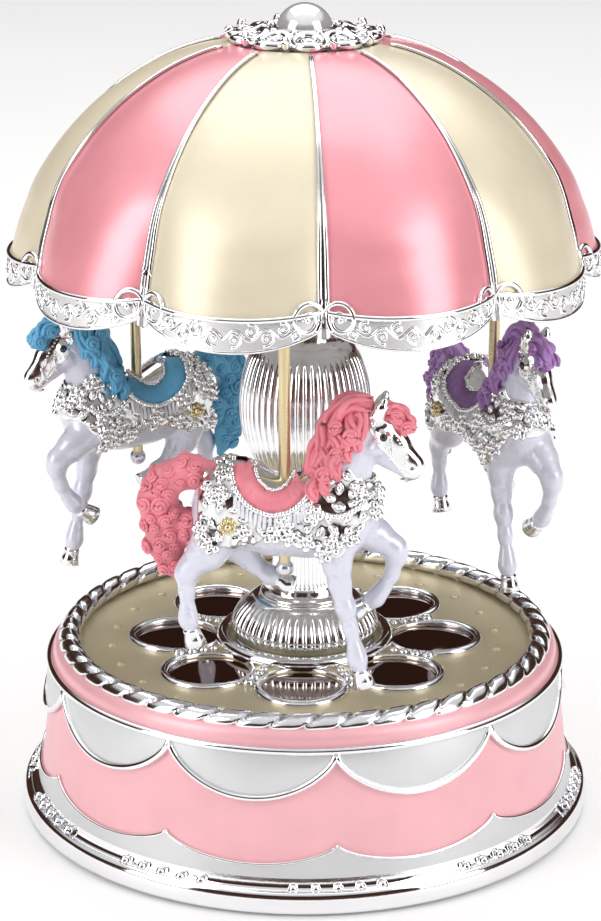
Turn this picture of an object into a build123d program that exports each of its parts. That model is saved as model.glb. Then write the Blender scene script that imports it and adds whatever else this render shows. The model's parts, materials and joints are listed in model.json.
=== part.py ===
from build123d import *
import math
import os

# A wind-up carousel music box. Millimetres, +Z up. The origin is the centre of the face that it stands on,
# and the front of the carousel faces -Y. A bearing is an angle from the front (-Y) towards the right (+X).

# Driving dimensions
HEIGHT = 155.0                # table to the top of the finial ball
BASE_R = 55.2                 # widest part of the foot ring
DRUM_BOTTOM = 6.5             # where the drum wall stands on the foot ring
DECK_TOP = 32.0               # upper face of the deck
DECK_R = 46.5
COLUMN_BORE = 3.2             # clearance round the shaft inside the column
SHAFT_R = 1.5
RUN = 0.05                    # radial clearance of every running fit
GORES = 10                    # canopy gores, ribs and scallops
FIRST_RIB = 3.57              # bearing of the first rib
PETALS = 8                    # mirror petals in the deck
FIRST_PETAL = -1.5
POLE_R = 1.05
POLE_CIRCLE = 40.5            # radius of the circle that the poles stand on
POLE_TOP = 131.5
POLE_BALL_Z = 61.6
POLE_BALL_R = 1.8
BALL_R = 5.33                 # finial ball

# Where each horse hangs: bearing of its pole, and the way it heads, in degrees from +X
HORSES = {"front": (-5.0, -5.0), "right": (115.0, -66.5), "left": (-125.0, 212.0)}

# Canopy levels from rim to crown: height, radius on the crest of a gore, radius in the valley at a rib
CANOPY = [
    (110.1, 54.2, 50.7),
    (115.0, 52.8, 49.7),
    (118.9, 51.3, 48.6),
    (122.6, 49.8, 47.5),
    (126.3, 47.6, 45.9),
    (130.0, 44.9, 43.4),
    (133.7, 41.7, 40.4),
    (137.4, 37.8, 36.7),
    (141.0, 33.0, 32.0),
    (144.6, 26.6, 25.8),
    (147.0, 20.0, 19.4),
    (148.2, 14.0, 13.6),
]
CANOPY_WALL = 1.6
BAND_BOTTOM = 104.3
BAND_CREST = 55.1
BAND_VALLEY = 51.6

# Movement, all on one die-cast bedplate
BED = (8.2, 9.8)              # bottom and top of the bedplate
GREAT_TEETH, PINION_TEETH, GREAT_MODULE = 60, 12, 0.5
TRAIN_TEETH, FAN_TEETH, TRAIN_MODULE = 48, 8, 0.4
CROWN_TEETH, CROWN_PINION_TEETH = 36, 12
CROWN_R = 12.0                # pitch radius of the face teeth on the barrel cover
CROWN_Z = 18.0                # their pitch plane
GREAT_Z = (11.8, 13.2)
TRAIN_Z = (10.2, 11.3)
MESH_SLACK = 0.1              # extra centre distance of the spur pairs
CYLINDER_Z = CROWN_Z + CROWN_R * CROWN_PINION_TEETH / CROWN_TEETH
CYLINDER_R = 5.2
CYLINDER_X = (18.6, 35.4)
TINES = 18
PIN_HEIGHT = 0.5
WELL_R = 14.2                 # recess for the winding key
SCREW_POSTS = [(-27.0, 3.0), (33.0, 20.0), (33.0, -5.0), (-11.0, -32.5)]
CLICK_PIVOT = (6.1, 5.8)

train_distance = (GREAT_TEETH + PINION_TEETH) * GREAT_MODULE / 2 + MESH_SLACK
fan_distance = (TRAIN_TEETH + FAN_TEETH) * TRAIN_MODULE / 2 + MESH_SLACK
TRAIN_ANGLE, FAN_ANGLE = 220.0, 250.0     # directions of the two meshes, in degrees from +X
train_x = train_distance * math.cos(math.radians(TRAIN_ANGLE))
train_y = train_distance * math.sin(math.radians(TRAIN_ANGLE))
fan_x = train_x + fan_distance * math.cos(math.radians(FAN_ANGLE))
fan_y = train_y + fan_distance * math.sin(math.radians(FAN_ANGLE))

STAND = (Align.CENTER, Align.CENTER, Align.MIN)
CORNER = (Align.MIN, Align.MIN, Align.MIN)
ACROSS = Plane(origin=(0, 0, 0), x_dir=(0, 1, 0), z_dir=(1, 0, 0))   # local axes: Y, Z, along X


def bearing_xy(radius, bearing):
    angle = math.radians(bearing)
    return radius * math.sin(angle), -radius * math.cos(angle)


def rod(radius, z0, z1, x=0.0, y=0.0):
    return Pos(x, y, z0) * Cylinder(radius, z1 - z0, align=STAND)


def ring(outer, inner, z0, z1):
    return rod(outer, z0, z1) - rod(inner, z0 - 1, z1 + 1)


def block(x0, x1, y0, y1, z0, z1):
    return Pos(x0, y0, z0) * Box(x1 - x0, y1 - y0, z1 - z0, align=CORNER)


def turned(*profile):
    """Solid of revolution about Z from corners (radius, height)."""
    return revolve(Plane.XZ * make_face(Polyline(*profile, close=True)), Axis.Z)


def shell(outside, bore):
    """Turned piece: an outside profile from bottom to top, with a straight bore."""
    return turned((bore, outside[0][1]), *outside, (bore, outside[-1][1]))


def spline_turned(outside, bore):
    """As shell, with the outside profile drawn as one smooth curve."""
    z0, z1 = outside[0][1], outside[-1][1]
    edges = [
        Spline(*outside),
        Line(outside[-1], (bore, z1)),
        Line((bore, z1), (bore, z0)),
        Line((bore, z0), outside[0]),
    ]
    return revolve(Plane.XZ * make_face(edges), Axis.Z)


def gear_face(teeth, module, phase=0.0):
    """Straight-flanked gear outline; one tooth is centred on the phase angle."""
    pitch_r = teeth * module / 2
    root_r, tip_r = pitch_r - 1.2 * module, pitch_r + 0.85 * module
    step = 360 / teeth
    corners = []
    for tooth in range(teeth):
        middle = phase + tooth * step
        for radius, share in ((root_r, -0.26), (tip_r, -0.10), (tip_r, 0.10), (root_r, 0.26)):
            angle = math.radians(middle + share * step)
            corners.append((radius * math.cos(angle), radius * math.sin(angle)))
    return make_face(Polyline(*corners, close=True))


def gear(teeth, module, z0, z1, phase=0.0, x=0.0, y=0.0):
    return Pos(x, y, z0) * extrude(gear_face(teeth, module, phase), z1 - z0)


def screw(x, y, z_head, z_tip, head_r, shank_r, head_h=0.8):
    """Cross-slotted screw whose head is the end at z_head; it may point up or down."""
    down = 1 if z_tip < z_head else -1
    head = rod(head_r, *sorted((z_head, z_head - down * head_h)), x, y)
    shank = rod(shank_r, *sorted((z_head - down * head_h, z_tip)), x, y)
    slot = Pos(x, y, z_head) * (Box(head_r * 1.3, 0.35, 0.5) + Box(0.35, head_r * 1.3, 0.5))
    return head + shank - slot


def lobed_face(crest, valley):
    """Outline with one bulging arc for each gore; the valleys are at the ribs."""
    step = 360 / GORES
    arcs = []
    for gore in range(GORES):
        start = FIRST_RIB + gore * step
        ends = [bearing_xy(valley, start), bearing_xy(crest, start + step / 2), bearing_xy(valley, start + step)]
        arcs.append(ThreePointArc(*ends))
    return make_face(arcs)


def around(count, first, piece_at):
    """Separate copies of one piece at even bearings."""
    return Compound(children=[piece_at(first + i * 360 / count) for i in range(count)])


# Base and drum

def base_ring():
    outside = [(54.4, 0.4), (55.0, 1.4), (BASE_R, 3.0), (54.9, 4.2), (54.2, 4.9), (52.6, 5.1), (52.0, 5.6)]
    ledge = [(51.8, DRUM_BOTTOM), (46.5, DRUM_BOTTOM), (46.5, 2.6), (49.2, 2.6), (49.2, 0.4)]
    body = turned(*outside, *ledge)
    for x, y in cover_screw_places():
        body -= rod(0.7, 2.0, 5.5, x, y)
    return body


def drum_wall():
    outside = [(51.8, DRUM_BOTTOM), (50.8, 12.4), (49.8, 21.0), (48.9, 29.3), (48.8, 30.6), (48.5, DECK_TOP)]
    inside = [(46.6, DECK_TOP), (46.6, 30.0), (44.6, 30.0), (44.6, 28.6), (47.0, 27.0), (49.8, DRUM_BOTTOM)]
    return turned(*outside, *inside)


def petal(bearing, grow, z0, z1):
    """One petal-shaped prism; grow is added to its half length and half width."""
    x, y = bearing_xy(25.0, bearing)
    outline = Ellipse(8.0 + grow, 7.6 + grow)
    return Pos(x, y, z0) * Rot(0, 0, bearing - 90) * extrude(outline, z1 - z0)


def deck_plate():
    plate = rod(DECK_R, 30.0, DECK_TOP) - rod(4.5, 29, 33)
    for i in range(PETALS):
        plate -= petal(FIRST_PETAL + i * 360 / PETALS, 0.0, DECK_TOP - 0.8, DECK_TOP + 1)
    return plate


def mirror_inlays():
    return around(PETALS, FIRST_PETAL, lambda b: petal(b, -0.05, DECK_TOP - 0.8, DECK_TOP - 0.2))


def deck_trim_ring():
    return turned(
        (43.6, DECK_TOP), (47.2, DECK_TOP), (47.4, 33.2), (46.9, 34.8), (45.9, 35.7),
        (44.8, 36.0), (43.9, 35.4), (43.4, 34.0),
    )


def cover_screw_places():
    return [bearing_xy(47.8, 45 + 90 * i) for i in range(4)]


def foot_places():
    return [bearing_xy(38.0, 90 * i) for i in range(4)]


def bottom_cover():
    cover = rod(49.1, 1.0, 2.6) + rod(WELL_R + 1.3, 2.6, 7.7)
    cover -= rod(WELL_R, 0.0, 6.5) + rod(1.9, 6.0, 8.0)
    for x, y in SCREW_POSTS:
        cover += rod(3.0, 2.6, BED[0], x, y)
        cover -= rod(2.0, 0.0, 2.2, x, y) + rod(1.05, 2.0, 9.0, x, y)
    for x, y in cover_screw_places():
        cover -= rod(1.25, 0.0, 1.9, x, y) + rod(0.75, 1.5, 3.0, x, y)
    for x, y in foot_places():
        cover -= rod(4.0, 0.0, 1.4, x, y)
    return cover


def cover_screws():
    return Compound(children=[screw(x, y, 1.1, 5.2, 1.2, 0.7) for x, y in cover_screw_places()])


def movement_screws():
    return Compound(children=[screw(x, y, 1.3, 9.5, 1.9, 1.0, 0.9) for x, y in SCREW_POSTS])


def rubber_feet():
    return Compound(children=[fillet(rod(4.0, 0.0, 1.4, x, y).edges().group_by(Axis.Z)[0], 0.4)
                              for x, y in foot_places()])


# Column

def column_collar():
    return turned((14.5, DECK_TOP), (17.2, DECK_TOP), (17.4, 32.8), (17.0, 33.8), (16.0, 34.3), (14.9, 34.0))


def column_foot():
    rings = [(13.4, DECK_TOP), (13.4, 33.0), (12.9, 33.3)]
    swell = [(12.9, 33.3), (13.7, 34.1), (14.2, 35.6), (13.7, 37.5), (12.3, 39.4), (10.0, 41.0)]
    top = [(8.6, 41.6), (8.6, 42.4), (7.4, 43.2), (7.2, 44.0)]
    bush_flange = rod(6.1, DECK_TOP - 1, DECK_TOP + 1.1)
    lower = shell(rings, COLUMN_BORE) + spline_turned(swell, COLUMN_BORE)
    return lower + shell([(10.0, 41.0), *top], COLUMN_BORE) - bush_flange


def column_neck():
    waist = [(6.6, 44.0), (6.3, 46.0), (6.0, 50.0), (5.4, 55.0), (5.9, 60.0), (7.2, 63.2)]
    ring_top = [(7.9, 63.2), (8.2, 64.0), (7.7, 65.2), (8.2, 66.2), (7.9, 67.0)]
    return spline_turned(waist, COLUMN_BORE) + shell(ring_top, COLUMN_BORE)


def column_bulb():
    belly = [(8.6, 67.6), (10.0, 69.6), (11.5, 73.4), (12.45, 80.0), (11.8, 85.6), (9.5, 91.0), (8.4, 92.0)]
    inner = [(r - 1.4, z) for r, z in belly[1:-1]]
    hollow = spline_turned(inner, 0.5)
    foot = shell([(8.6, 67.0), (8.6, 67.6)], COLUMN_BORE)
    return foot + spline_turned(belly, COLUMN_BORE) - hollow


def column_cap():
    cone = [(6.9, 92.0), (6.3, 95.0), (5.7, 100.0), (5.3, 106.0), (5.1, 112.0), (5.0, 116.0)]
    return spline_turned(cone, COLUMN_BORE)


def lower_bush():
    return ring(4.5, SHAFT_R + RUN, 29.0, DECK_TOP) + ring(6.0, SHAFT_R + RUN, DECK_TOP, DECK_TOP + 1)


def upper_bush():
    return ring(COLUMN_BORE, SHAFT_R + RUN, 110.0, 116.0) + ring(4.8, SHAFT_R + RUN, 116.0, 117.2)


# Canopy

def canopy_solid(inset, floor):
    """Loft through the canopy levels; inset moves the surface in and down by the wall thickness."""
    sections = []
    for i, (z, crest, valley) in enumerate(CANOPY):
        share = i / (len(CANOPY) - 1)
        sections.append(Pos(0, 0, z - inset * share) * lobed_face(crest - inset, valley - inset))
    body = loft(sections)
    if floor:
        body += Pos(0, 0, CANOPY[0][0] - floor) * extrude(lobed_face(CANOPY[0][1] - inset, CANOPY[0][2] - inset),
                                                          floor)
    return body


def canopy_dome():
    outer = canopy_solid(0.0, 0.0)
    dome = outer - canopy_solid(CANOPY_WALL, 1.0)
    for bearing, _ in HORSES.values():
        x, y = bearing_xy(POLE_CIRCLE, bearing)
        dome += rod(2.6, 126.5, 140.0, x, y) & outer
        dome -= rod(POLE_R, 120.0, POLE_TOP, x, y)
    return dome - rod(5.0, 140.0, 150.0)


def canopy_band():
    height = CANOPY[0][0] - BAND_BOTTOM
    outside = extrude(lobed_face(BAND_CREST, BAND_VALLEY), height)
    inside = extrude(lobed_face(BAND_CREST - 2.2, BAND_VALLEY - 2.2), height)
    return Pos(0, 0, BAND_BOTTOM) * (outside - inside)


def canopy_ribs(dome):
    """Ten narrow strips that stand proud of the valleys between the gores."""
    valley = [(r, z) for z, _, r in CANOPY]
    proud = [(r + 0.9, z + 0.2 + 0.7 * i / len(valley)) for i, (r, z) in enumerate(valley)]
    edges = [Spline(*valley), Line(valley[-1], proud[-1]), Spline(*proud), Line(proud[0], valley[0])]
    strip = extrude(Plane.XZ * make_face(edges), 0.6, both=True)
    strip -= rod(15.0, 140.0, 155.0)                                           # room for the rosette
    ribs = [Rot(0, 0, FIRST_RIB - 90 + i * 360 / GORES) * strip - dome for i in range(GORES)]
    return Compound(children=[max(rib.solids(), key=lambda s: s.volume) for rib in ribs])


def canopy_hub():
    return rod(12.0, 144.9, 146.5) + rod(3.6, 134.0, 145.0) - rod(SHAFT_R, 130.0, 150.0)


def hub_nut():
    nut = Pos(0, 0, 146.5) * extrude(RegularPolygon(3.2, 6), 1.5)
    return nut - rod(SHAFT_R, 140.0, 150.0)


def finial_rosette():
    rosette = rod(9.5, 148.2, 150.0)
    for i in range(10):
        x, y = bearing_xy(10.8, FIRST_RIB + i * 36)
        rosette += rod(3.4, 148.2, 150.6, x, y)
    rosette += rod(7.0, 150.0, 151.2)
    return rosette - finial_sphere()


def finial_sphere():
    return Pos(0, 0, HEIGHT - BALL_R) * Sphere(BALL_R) - rod(10.0, 140.0, 148.6)


def drive_shaft():
    return rod(SHAFT_R, 17.3, 148.1)


def pole(x, y):
    return rod(POLE_R, POLE_BALL_Z, POLE_TOP, x, y)


def pole_ball(x, y):
    return Pos(x, y, POLE_BALL_Z) * Sphere(POLE_BALL_R) - rod(POLE_R, POLE_BALL_Z, POLE_BALL_Z + 3, x, y)


# Horses: the pole is at the origin, the horse faces +X, and the heights are true

BODY = [(9.2, 0, 71.0, 6.2), (0.0, 0, 70.2, 6.5), (-9.4, 0, 74.0, 6.8), (-10.2, 0, 70.6, 6.0)]
NECK = [(7.5, 0, 75.0, 5.3), (10.6, 0, 81.5, 4.1), (12.8, 0, 87.0, 3.3), (15.2, 0, 89.6, 2.9)]
HEAD = [(16.8, 0, 87.3, 3.5), (20.0, 0, 83.7, 2.6), (22.5, 0, 80.6, 1.9)]
JAW = [(15.4, 0, 88.0, 2.8), (16.6, 0, 84.4, 2.8), (20.5, 0, 81.4, 2.0)]
MANE = [(14.6, 0, 91.6, 2.0), (11.9, 0, 91.8, 2.1), (9.2, 0, 88.6, 2.2), (8.0, 0, 84.8, 2.2), (6.4, 0, 81.0, 2.3),
        (4.6, 0, 78.2, 1.8)]
FORELOCK = [(17.6, 0, 90.6, 1.5), (20.6, 0, 89.2, 1.7), (22.0, 0, 88.0, 1.3)]
TAIL = [(-12.5, 0, 80.0, 2.4), (-16.6, 0, 81.6, 2.2), (-20.6, 0, 79.6, 2.6), (-22.3, 0, 75.6, 2.8),
        (-22.4, 0, 71.2, 2.6), (-20.6, 0, 67.2, 2.8), (-20.4, 0, 63.6, 2.3), (-19.9, 0, 60.0, 1.3)]
LEFT_EAR = [(16.6, 1.3, 90.6, 1.2), (17.7, 1.7, 93.3, 0.4)]
RIGHT_EAR = [(16.6, -1.3, 90.6, 1.2), (17.7, -1.7, 93.3, 0.4)]
RIGHT_HIND = [(-11.5, -2.8, 67.6, 4.0), (-17.2, -2.9, 61.6, 2.1), (-17.0, -2.9, 56.0, 1.5),
              (-16.9, -2.9, 52.4, 1.35), (-16.2, -2.9, 50.0, 1.6), (-15.7, -2.9, 48.6, 1.8)]
LEFT_HIND = [(-10.6, 2.8, 66.4, 3.4), (-6.6, 2.9, 61.8, 1.9), (-3.0, 2.9, 58.9, 1.6), (-0.9, 2.9, 57.9, 1.3)]
RIGHT_FORE = [(9.6, -2.8, 66.4, 3.3), (9.6, -2.9, 61.8, 2.1), (10.7, -2.9, 57.0, 1.8), (12.1, -2.9, 50.0, 1.4),
              (13.2, -2.9, 45.2, 1.4), (14.1, -2.9, 42.0, 1.8)]
LEFT_FORE = [(12.4, 2.8, 68.0, 3.3), (19.6, 2.9, 64.8, 2.3), (18.9, 2.9, 59.4, 1.6), (15.4, 2.9, 54.6, 1.3),
             (12.4, 2.9, 52.7, 1.5)]


def limb(points):
    """Round-jointed limb through points (x, y, z, radius)."""
    pieces = [Pos(x, y, z) * Sphere(r) for x, y, z, r in points]
    for (x0, y0, z0, r0), (x1, y1, z1, r1) in zip(points, points[1:]):
        start, end = Vector(x0, y0, z0), Vector(x1, y1, z1)
        along = Plane(origin=start, z_dir=end - start)
        length = (end - start).length
        if abs(r0 - r1) < 0.02:
            pieces.append(along * Cylinder(r0 * 0.97, length, align=STAND))
        else:
            pieces.append(along * Cone(r0 * 0.97, r1 * 0.97, length, align=STAND))
    return pieces


def horse():
    limbs = [BODY, NECK, HEAD, JAW, MANE, FORELOCK, TAIL, LEFT_EAR, RIGHT_EAR, RIGHT_HIND, LEFT_HIND,
             RIGHT_FORE, LEFT_FORE]
    pieces = [piece for points in limbs for piece in limb(points)]
    body = pieces[0]
    for piece in pieces[1:]:
        body += piece
    return body - rod(POLE_R + RUN + 0.02, 50.0, 90.0)


# Movement

def bedplate():
    corners = [(-31, -22), (-23, -36.5), (-8, -36.5), (-3, -17), (38.5, -9), (38.5, 24), (31, 26), (-10, 18),
               (-31, 8)]
    plate = Pos(0, 0, BED[0]) * extrude(make_face(Polyline(*corners, close=True)), BED[1] - BED[0])
    top = BED[1]
    plate += block(19.0, 35.0, 16.0, 24.0, top, CYLINDER_Z - 0.4)              # comb ledge
    for x in (16.4, 36.2):
        plate += block(x, x + 1.4, -3.2, 3.2, top, CYLINDER_Z + 3)             # cylinder bearings
    plate += rod(0.6, top, top + 1.6, 8.4, 10.8)                               # stop for the click spring
    plate -= Pos(10, 0, CYLINDER_Z) * Rot(0, 90, 0) * Cylinder(1.0 + RUN, 30, align=STAND)
    plate -= rod(SHAFT_R + RUN, 5.0, top + 1)
    plate -= rod(0.8 + RUN, 5.0, top + 1, train_x, train_y)
    plate -= rod(0.5 + RUN, 5.0, top + 1, fan_x, fan_y)
    for x, y in SCREW_POSTS:
        plate -= rod(1.0, 8.0, 9.6, x, y)
    for x, y in bracket_screw_places():
        plate -= rod(0.7, 8.6, 11.0, x, y)
    for x in comb_screw_places():
        plate -= rod(0.9, 17.5, 23.0, x, 20.0)
    return plate - rod(0.8, 8.6, 11.0, *CLICK_PIVOT)


def comb_screw_places():
    return [21.5, 27.0, 32.5]


def bracket_screw_places():
    return [(-29.0, train_y), (fan_x, fan_y - 11.0)]


def winding_arbor():
    return rod(SHAFT_R, 2.0, 9.95) + rod(1.9, 9.95, 13.35) + rod(2.4, 13.35, 15.9)


def winding_key():
    wings = Pos(0, 0, 3.5) * Box(22.0, 1.6, 4.4)
    wings = fillet(wings.edges().filter_by(Axis.Y), 2.0)
    key = wings + rod(2.6, 1.3, 6.0)
    for x in (-6.8, 6.8):
        key -= Pos(x, 0, 3.5) * Rot(90, 0, 0) * Cylinder(1.4, 4)
    return key - rod(SHAFT_R, 2.0, 7.0)


def ratchet_wheel():
    corners = []
    for tooth in range(12):
        angle = math.radians(tooth * 30)
        corners += [(r * math.cos(angle), r * math.sin(angle)) for r in (4.0, 5.0)]
    wheel = Pos(0, 0, 10.2) * extrude(make_face(Polyline(*corners, close=True)), 1.2)
    return wheel - rod(1.9, 9.0, 13.0)


def click():
    x, y = CLICK_PIVOT
    corners = [(0.15, 4.25), (3.0, 5.05), (x, 4.5), (x, y + 1.4), (2.8, 6.2), (0.15, 5.05)]
    arm = Pos(0, 0, 10.2) * extrude(make_face(Polyline(*corners, close=True)), 1.1)
    return arm + rod(1.6, 10.2, 11.3, x, y) - rod(0.8 + RUN, 9.0, 12.0, x, y)


def click_spring():
    x, y = CLICK_PIVOT
    return block(x - 0.15, x + 0.15, y + 1.58, y + 5.4, 10.4, 11.1)


def click_screw():
    return screw(*CLICK_PIVOT, 11.65, 8.7, 1.3, 0.8, 0.3)


def spring_barrel():
    barrel = gear(GREAT_TEETH, GREAT_MODULE, *GREAT_Z, phase=TRAIN_ANGLE)
    barrel += ring(11.6, 10.7, GREAT_Z[1], 16.3)
    return barrel - rod(1.9 + RUN, 10.0, 15.0)


def mainspring():
    """Flat spiral strip of half-turn arcs, with its outer end lying against the barrel wall."""
    pitch, strip, first_r, half_turns = 0.8, 0.25, 2.9, 18
    inner, outer = [], []
    for i in range(half_turns):
        radius = first_r + i * pitch / 2
        centre = 0.0 if i % 2 == 0 else pitch / 2
        side = 1 if i % 2 == 0 else -1
        for arcs, r in ((inner, radius), (outer, radius + strip)):
            arcs.append(ThreePointArc((centre + side * r, 0), (centre, side * r), (centre - side * r, 0)))
    caps = [Line(inner[0] @ 0, outer[0] @ 0), Line(inner[-1] @ 1, outer[-1] @ 1)]
    return Pos(0, 0, 13.5) * extrude(make_face(inner + outer + caps), 2.5)


def barrel_cover():
    cover = rod(13.2, 16.3, 17.3) + rod(3.4, 17.3, 20.5)
    tooth_face = Polyline((-0.45, 17.2), (0.45, 17.2), (0.2, 18.45), (-0.2, 18.45), close=True)
    tooth = Pos(CROWN_R - 1, 0, 0) * extrude(ACROSS * make_face(tooth_face), 2.0)
    cover += [Rot(0, 0, i * 360 / CROWN_TEETH) * tooth for i in range(CROWN_TEETH)]
    return cover - rod(SHAFT_R, 17.3, 21.0)


def along_x(radius, x0, x1):
    return Pos(x0, 0, CYLINDER_Z) * Rot(0, 90, 0) * Cylinder(radius, x1 - x0, align=STAND)


def cylinder_pinion():
    """Pinion on the overhung end of the cylinder's arbor; a tooth space faces the crown teeth below."""
    module = 2 * CROWN_R / CROWN_TEETH
    phase = -90 + 180 / CROWN_PINION_TEETH
    face = ACROSS * gear_face(CROWN_PINION_TEETH, module, phase)
    pinion = Pos(CROWN_R - 1, 0, CYLINDER_Z) * extrude(face, 2.0)
    return pinion + along_x(2.2, CROWN_R + 1, 15.4) - along_x(1.0, 10.0, 20.0)


def cylinder_arbor():
    return along_x(1.0, 10.6, 38.6)


def tine_x(i):
    pitch = (CYLINDER_X[1] - CYLINDER_X[0] - 1.0) / TINES
    return CYLINDER_X[0] + 0.5 + (i + 0.5) * pitch


def music_cylinder():
    """Tune cylinder: each tine's track has three or four pins, spread by the golden angle."""
    drum = along_x(CYLINDER_R, *CYLINDER_X) - along_x(1.0, 10.0, 40.0)
    pins = []
    for i in range(TINES):
        for j in range(3 + i % 2):
            angle = 137.5 * (i * 4 + j)
            pin = Pos(tine_x(i), 0, CYLINDER_Z) * Rot(angle, 0, 0)
            pins.append(pin * Pos(0, 0, CYLINDER_R - 0.3) * Cylinder(0.16, PIN_HEIGHT + 0.3, align=STAND))
    return drum + pins


def music_comb():
    """Steel comb; the tines get shorter towards the treble end."""
    tip = CYLINDER_R + PIN_HEIGHT + 0.1
    comb = block(*CYLINDER_X, tip, 24.0, CYLINDER_Z - 0.4, CYLINDER_Z + 0.4)
    for i in range(TINES - 1):
        x = (tine_x(i) + tine_x(i + 1)) / 2
        comb -= block(x - 0.12, x + 0.12, tip - 1, 15.5 - 0.25 * i, CYLINDER_Z - 1, CYLINDER_Z + 1)
    for x in comb_screw_places():
        comb -= rod(0.9, 20.0, 24.0, x, 20.0)
    return comb


def comb_screws():
    return Compound(children=[screw(x, 20.0, CYLINDER_Z + 1.4, 18.0, 1.9, 0.9, 1.0)
                              for x in comb_screw_places()])


def intermediate_wheel():
    step = 360 / PINION_TEETH
    wheel = gear(PINION_TEETH, GREAT_MODULE, 11.2, 14.0, TRAIN_ANGLE + 180 + step / 2, train_x, train_y)
    wheel += gear(TRAIN_TEETH, TRAIN_MODULE, *TRAIN_Z, FAN_ANGLE, train_x, train_y)
    return wheel + rod(0.8, 8.5, 15.9, train_x, train_y)


def train_cock():
    x, y = train_x, train_y
    cock = block(x - 13.3, x + 1.6, y - 1.5, y + 1.5, 14.5, 15.7)
    cock += block(x - 13.3, x - 10.7, y - 1.5, y + 1.5, BED[1], 15.7)
    cock += block(-30.6, x - 13.3, y - 1.5, y + 1.5, BED[1], 11.0)
    return cock - rod(0.8 + RUN, 14.0, 17.0, x, y) - rod(0.7, 8.0, 12.0, -29.0, y)


def governor_fan():
    """Air brake: a fast spindle with a two-bladed fan."""
    step = 360 / FAN_TEETH
    fan = gear(FAN_TEETH, TRAIN_MODULE, 10.1, 11.5, FAN_ANGLE + 180 + step / 2, fan_x, fan_y)
    fan += rod(0.5, 8.5, 24.3, fan_x, fan_y)
    fan += rod(1.0, 13.0, 21.5, fan_x, fan_y)
    return fan + block(fan_x - 5.4, fan_x + 5.4, fan_y - 0.2, fan_y + 0.2, 13.6, 21.0)


def governor_bracket():
    x, y = fan_x, fan_y
    bracket = block(x - 1.5, x + 1.5, y - 9.1, y - 6.3, BED[1], 24.0)
    bracket += block(x - 1.5, x + 1.5, y - 9.1, y + 1.5, 22.8, 24.0)
    bracket += block(x - 1.5, x + 1.5, y - 12.6, y - 9.1, BED[1], 11.0)
    return bracket - rod(0.5 + RUN, 20.0, 26.0, x, y) - rod(0.7, 8.0, 12.0, x, y - 11.0)


def bracket_screws():
    return Compound(children=[screw(x, y, 11.8, 8.8, 1.3, 0.7) for x, y in bracket_screw_places()])


def main():
    dome = canopy_dome()
    parts = {
        "base_ring": base_ring(),
        "drum_wall": drum_wall(),
        "deck_plate": deck_plate(),
        "mirror_inlays": mirror_inlays(),
        "deck_trim_ring": deck_trim_ring(),
        "bottom_cover": bottom_cover(),
        "cover_screws": cover_screws(),
        "rubber_feet": rubber_feet(),
        "movement_screws": movement_screws(),
        "column_collar": column_collar(),
        "column_foot": column_foot(),
        "column_neck": column_neck(),
        "column_bulb": column_bulb(),
        "column_cap": column_cap(),
        "lower_bush": lower_bush(),
        "upper_bush": upper_bush(),
        "drive_shaft": drive_shaft(),
        "canopy_dome": dome,
        "canopy_band": canopy_band(),
        "canopy_ribs": canopy_ribs(dome),
        "canopy_hub": canopy_hub(),
        "hub_nut": hub_nut(),
        "finial_rosette": finial_rosette(),
        "finial_ball": finial_sphere(),
        "bedplate": bedplate(),
        "winding_arbor": winding_arbor(),
        "winding_key": winding_key(),
        "ratchet_wheel": ratchet_wheel(),
        "click": click(),
        "click_spring": click_spring(),
        "click_screw": click_screw(),
        "spring_barrel": spring_barrel(),
        "mainspring": mainspring(),
        "barrel_cover": barrel_cover(),
        "cylinder_pinion": cylinder_pinion(),
        "cylinder_arbor": cylinder_arbor(),
        "music_cylinder": music_cylinder(),
        "music_comb": music_comb(),
        "comb_screws": comb_screws(),
        "intermediate_wheel": intermediate_wheel(),
        "train_cock": train_cock(),
        "governor_fan": governor_fan(),
        "governor_bracket": governor_bracket(),
        "bracket_screws": bracket_screws(),
    }
    one_horse = horse()
    for side, (bearing, heading) in HORSES.items():
        x, y = bearing_xy(POLE_CIRCLE, bearing)
        parts[f"pole_{side}"] = pole(x, y)
        parts[f"pole_ball_{side}"] = pole_ball(x, y)
        parts[f"horse_{side}"] = Pos(x, y, 0) * Rot(0, 0, heading) * one_horse

    os.makedirs("parts", exist_ok=True)
    for node, shape in parts.items():
        export_step(shape, f"parts/{node}.step")


main()
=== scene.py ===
import json
import math
import random

import bmesh
import bpy
import numpy as np
from mathutils import Euler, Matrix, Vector


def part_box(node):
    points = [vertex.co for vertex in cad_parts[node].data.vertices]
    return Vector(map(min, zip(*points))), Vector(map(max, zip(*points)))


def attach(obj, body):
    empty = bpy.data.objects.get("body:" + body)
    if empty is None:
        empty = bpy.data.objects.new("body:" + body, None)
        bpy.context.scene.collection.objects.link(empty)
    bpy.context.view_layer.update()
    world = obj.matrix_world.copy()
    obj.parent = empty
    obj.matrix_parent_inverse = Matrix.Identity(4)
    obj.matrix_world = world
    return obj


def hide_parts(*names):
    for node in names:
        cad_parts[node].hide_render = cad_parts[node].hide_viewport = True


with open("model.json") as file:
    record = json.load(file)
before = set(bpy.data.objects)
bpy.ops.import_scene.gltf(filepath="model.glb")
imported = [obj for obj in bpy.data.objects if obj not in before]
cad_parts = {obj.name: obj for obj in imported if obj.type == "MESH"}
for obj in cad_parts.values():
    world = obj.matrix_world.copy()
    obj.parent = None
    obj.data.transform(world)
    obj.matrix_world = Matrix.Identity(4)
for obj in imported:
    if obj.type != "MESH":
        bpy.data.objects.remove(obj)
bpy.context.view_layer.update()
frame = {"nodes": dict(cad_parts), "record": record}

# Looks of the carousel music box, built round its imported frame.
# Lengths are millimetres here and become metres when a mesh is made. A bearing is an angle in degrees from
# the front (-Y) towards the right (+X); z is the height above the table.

MM = 0.001


def top_of(node):
    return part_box(node)[1].z / MM


def bottom_of(node):
    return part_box(node)[0].z / MM


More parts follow.
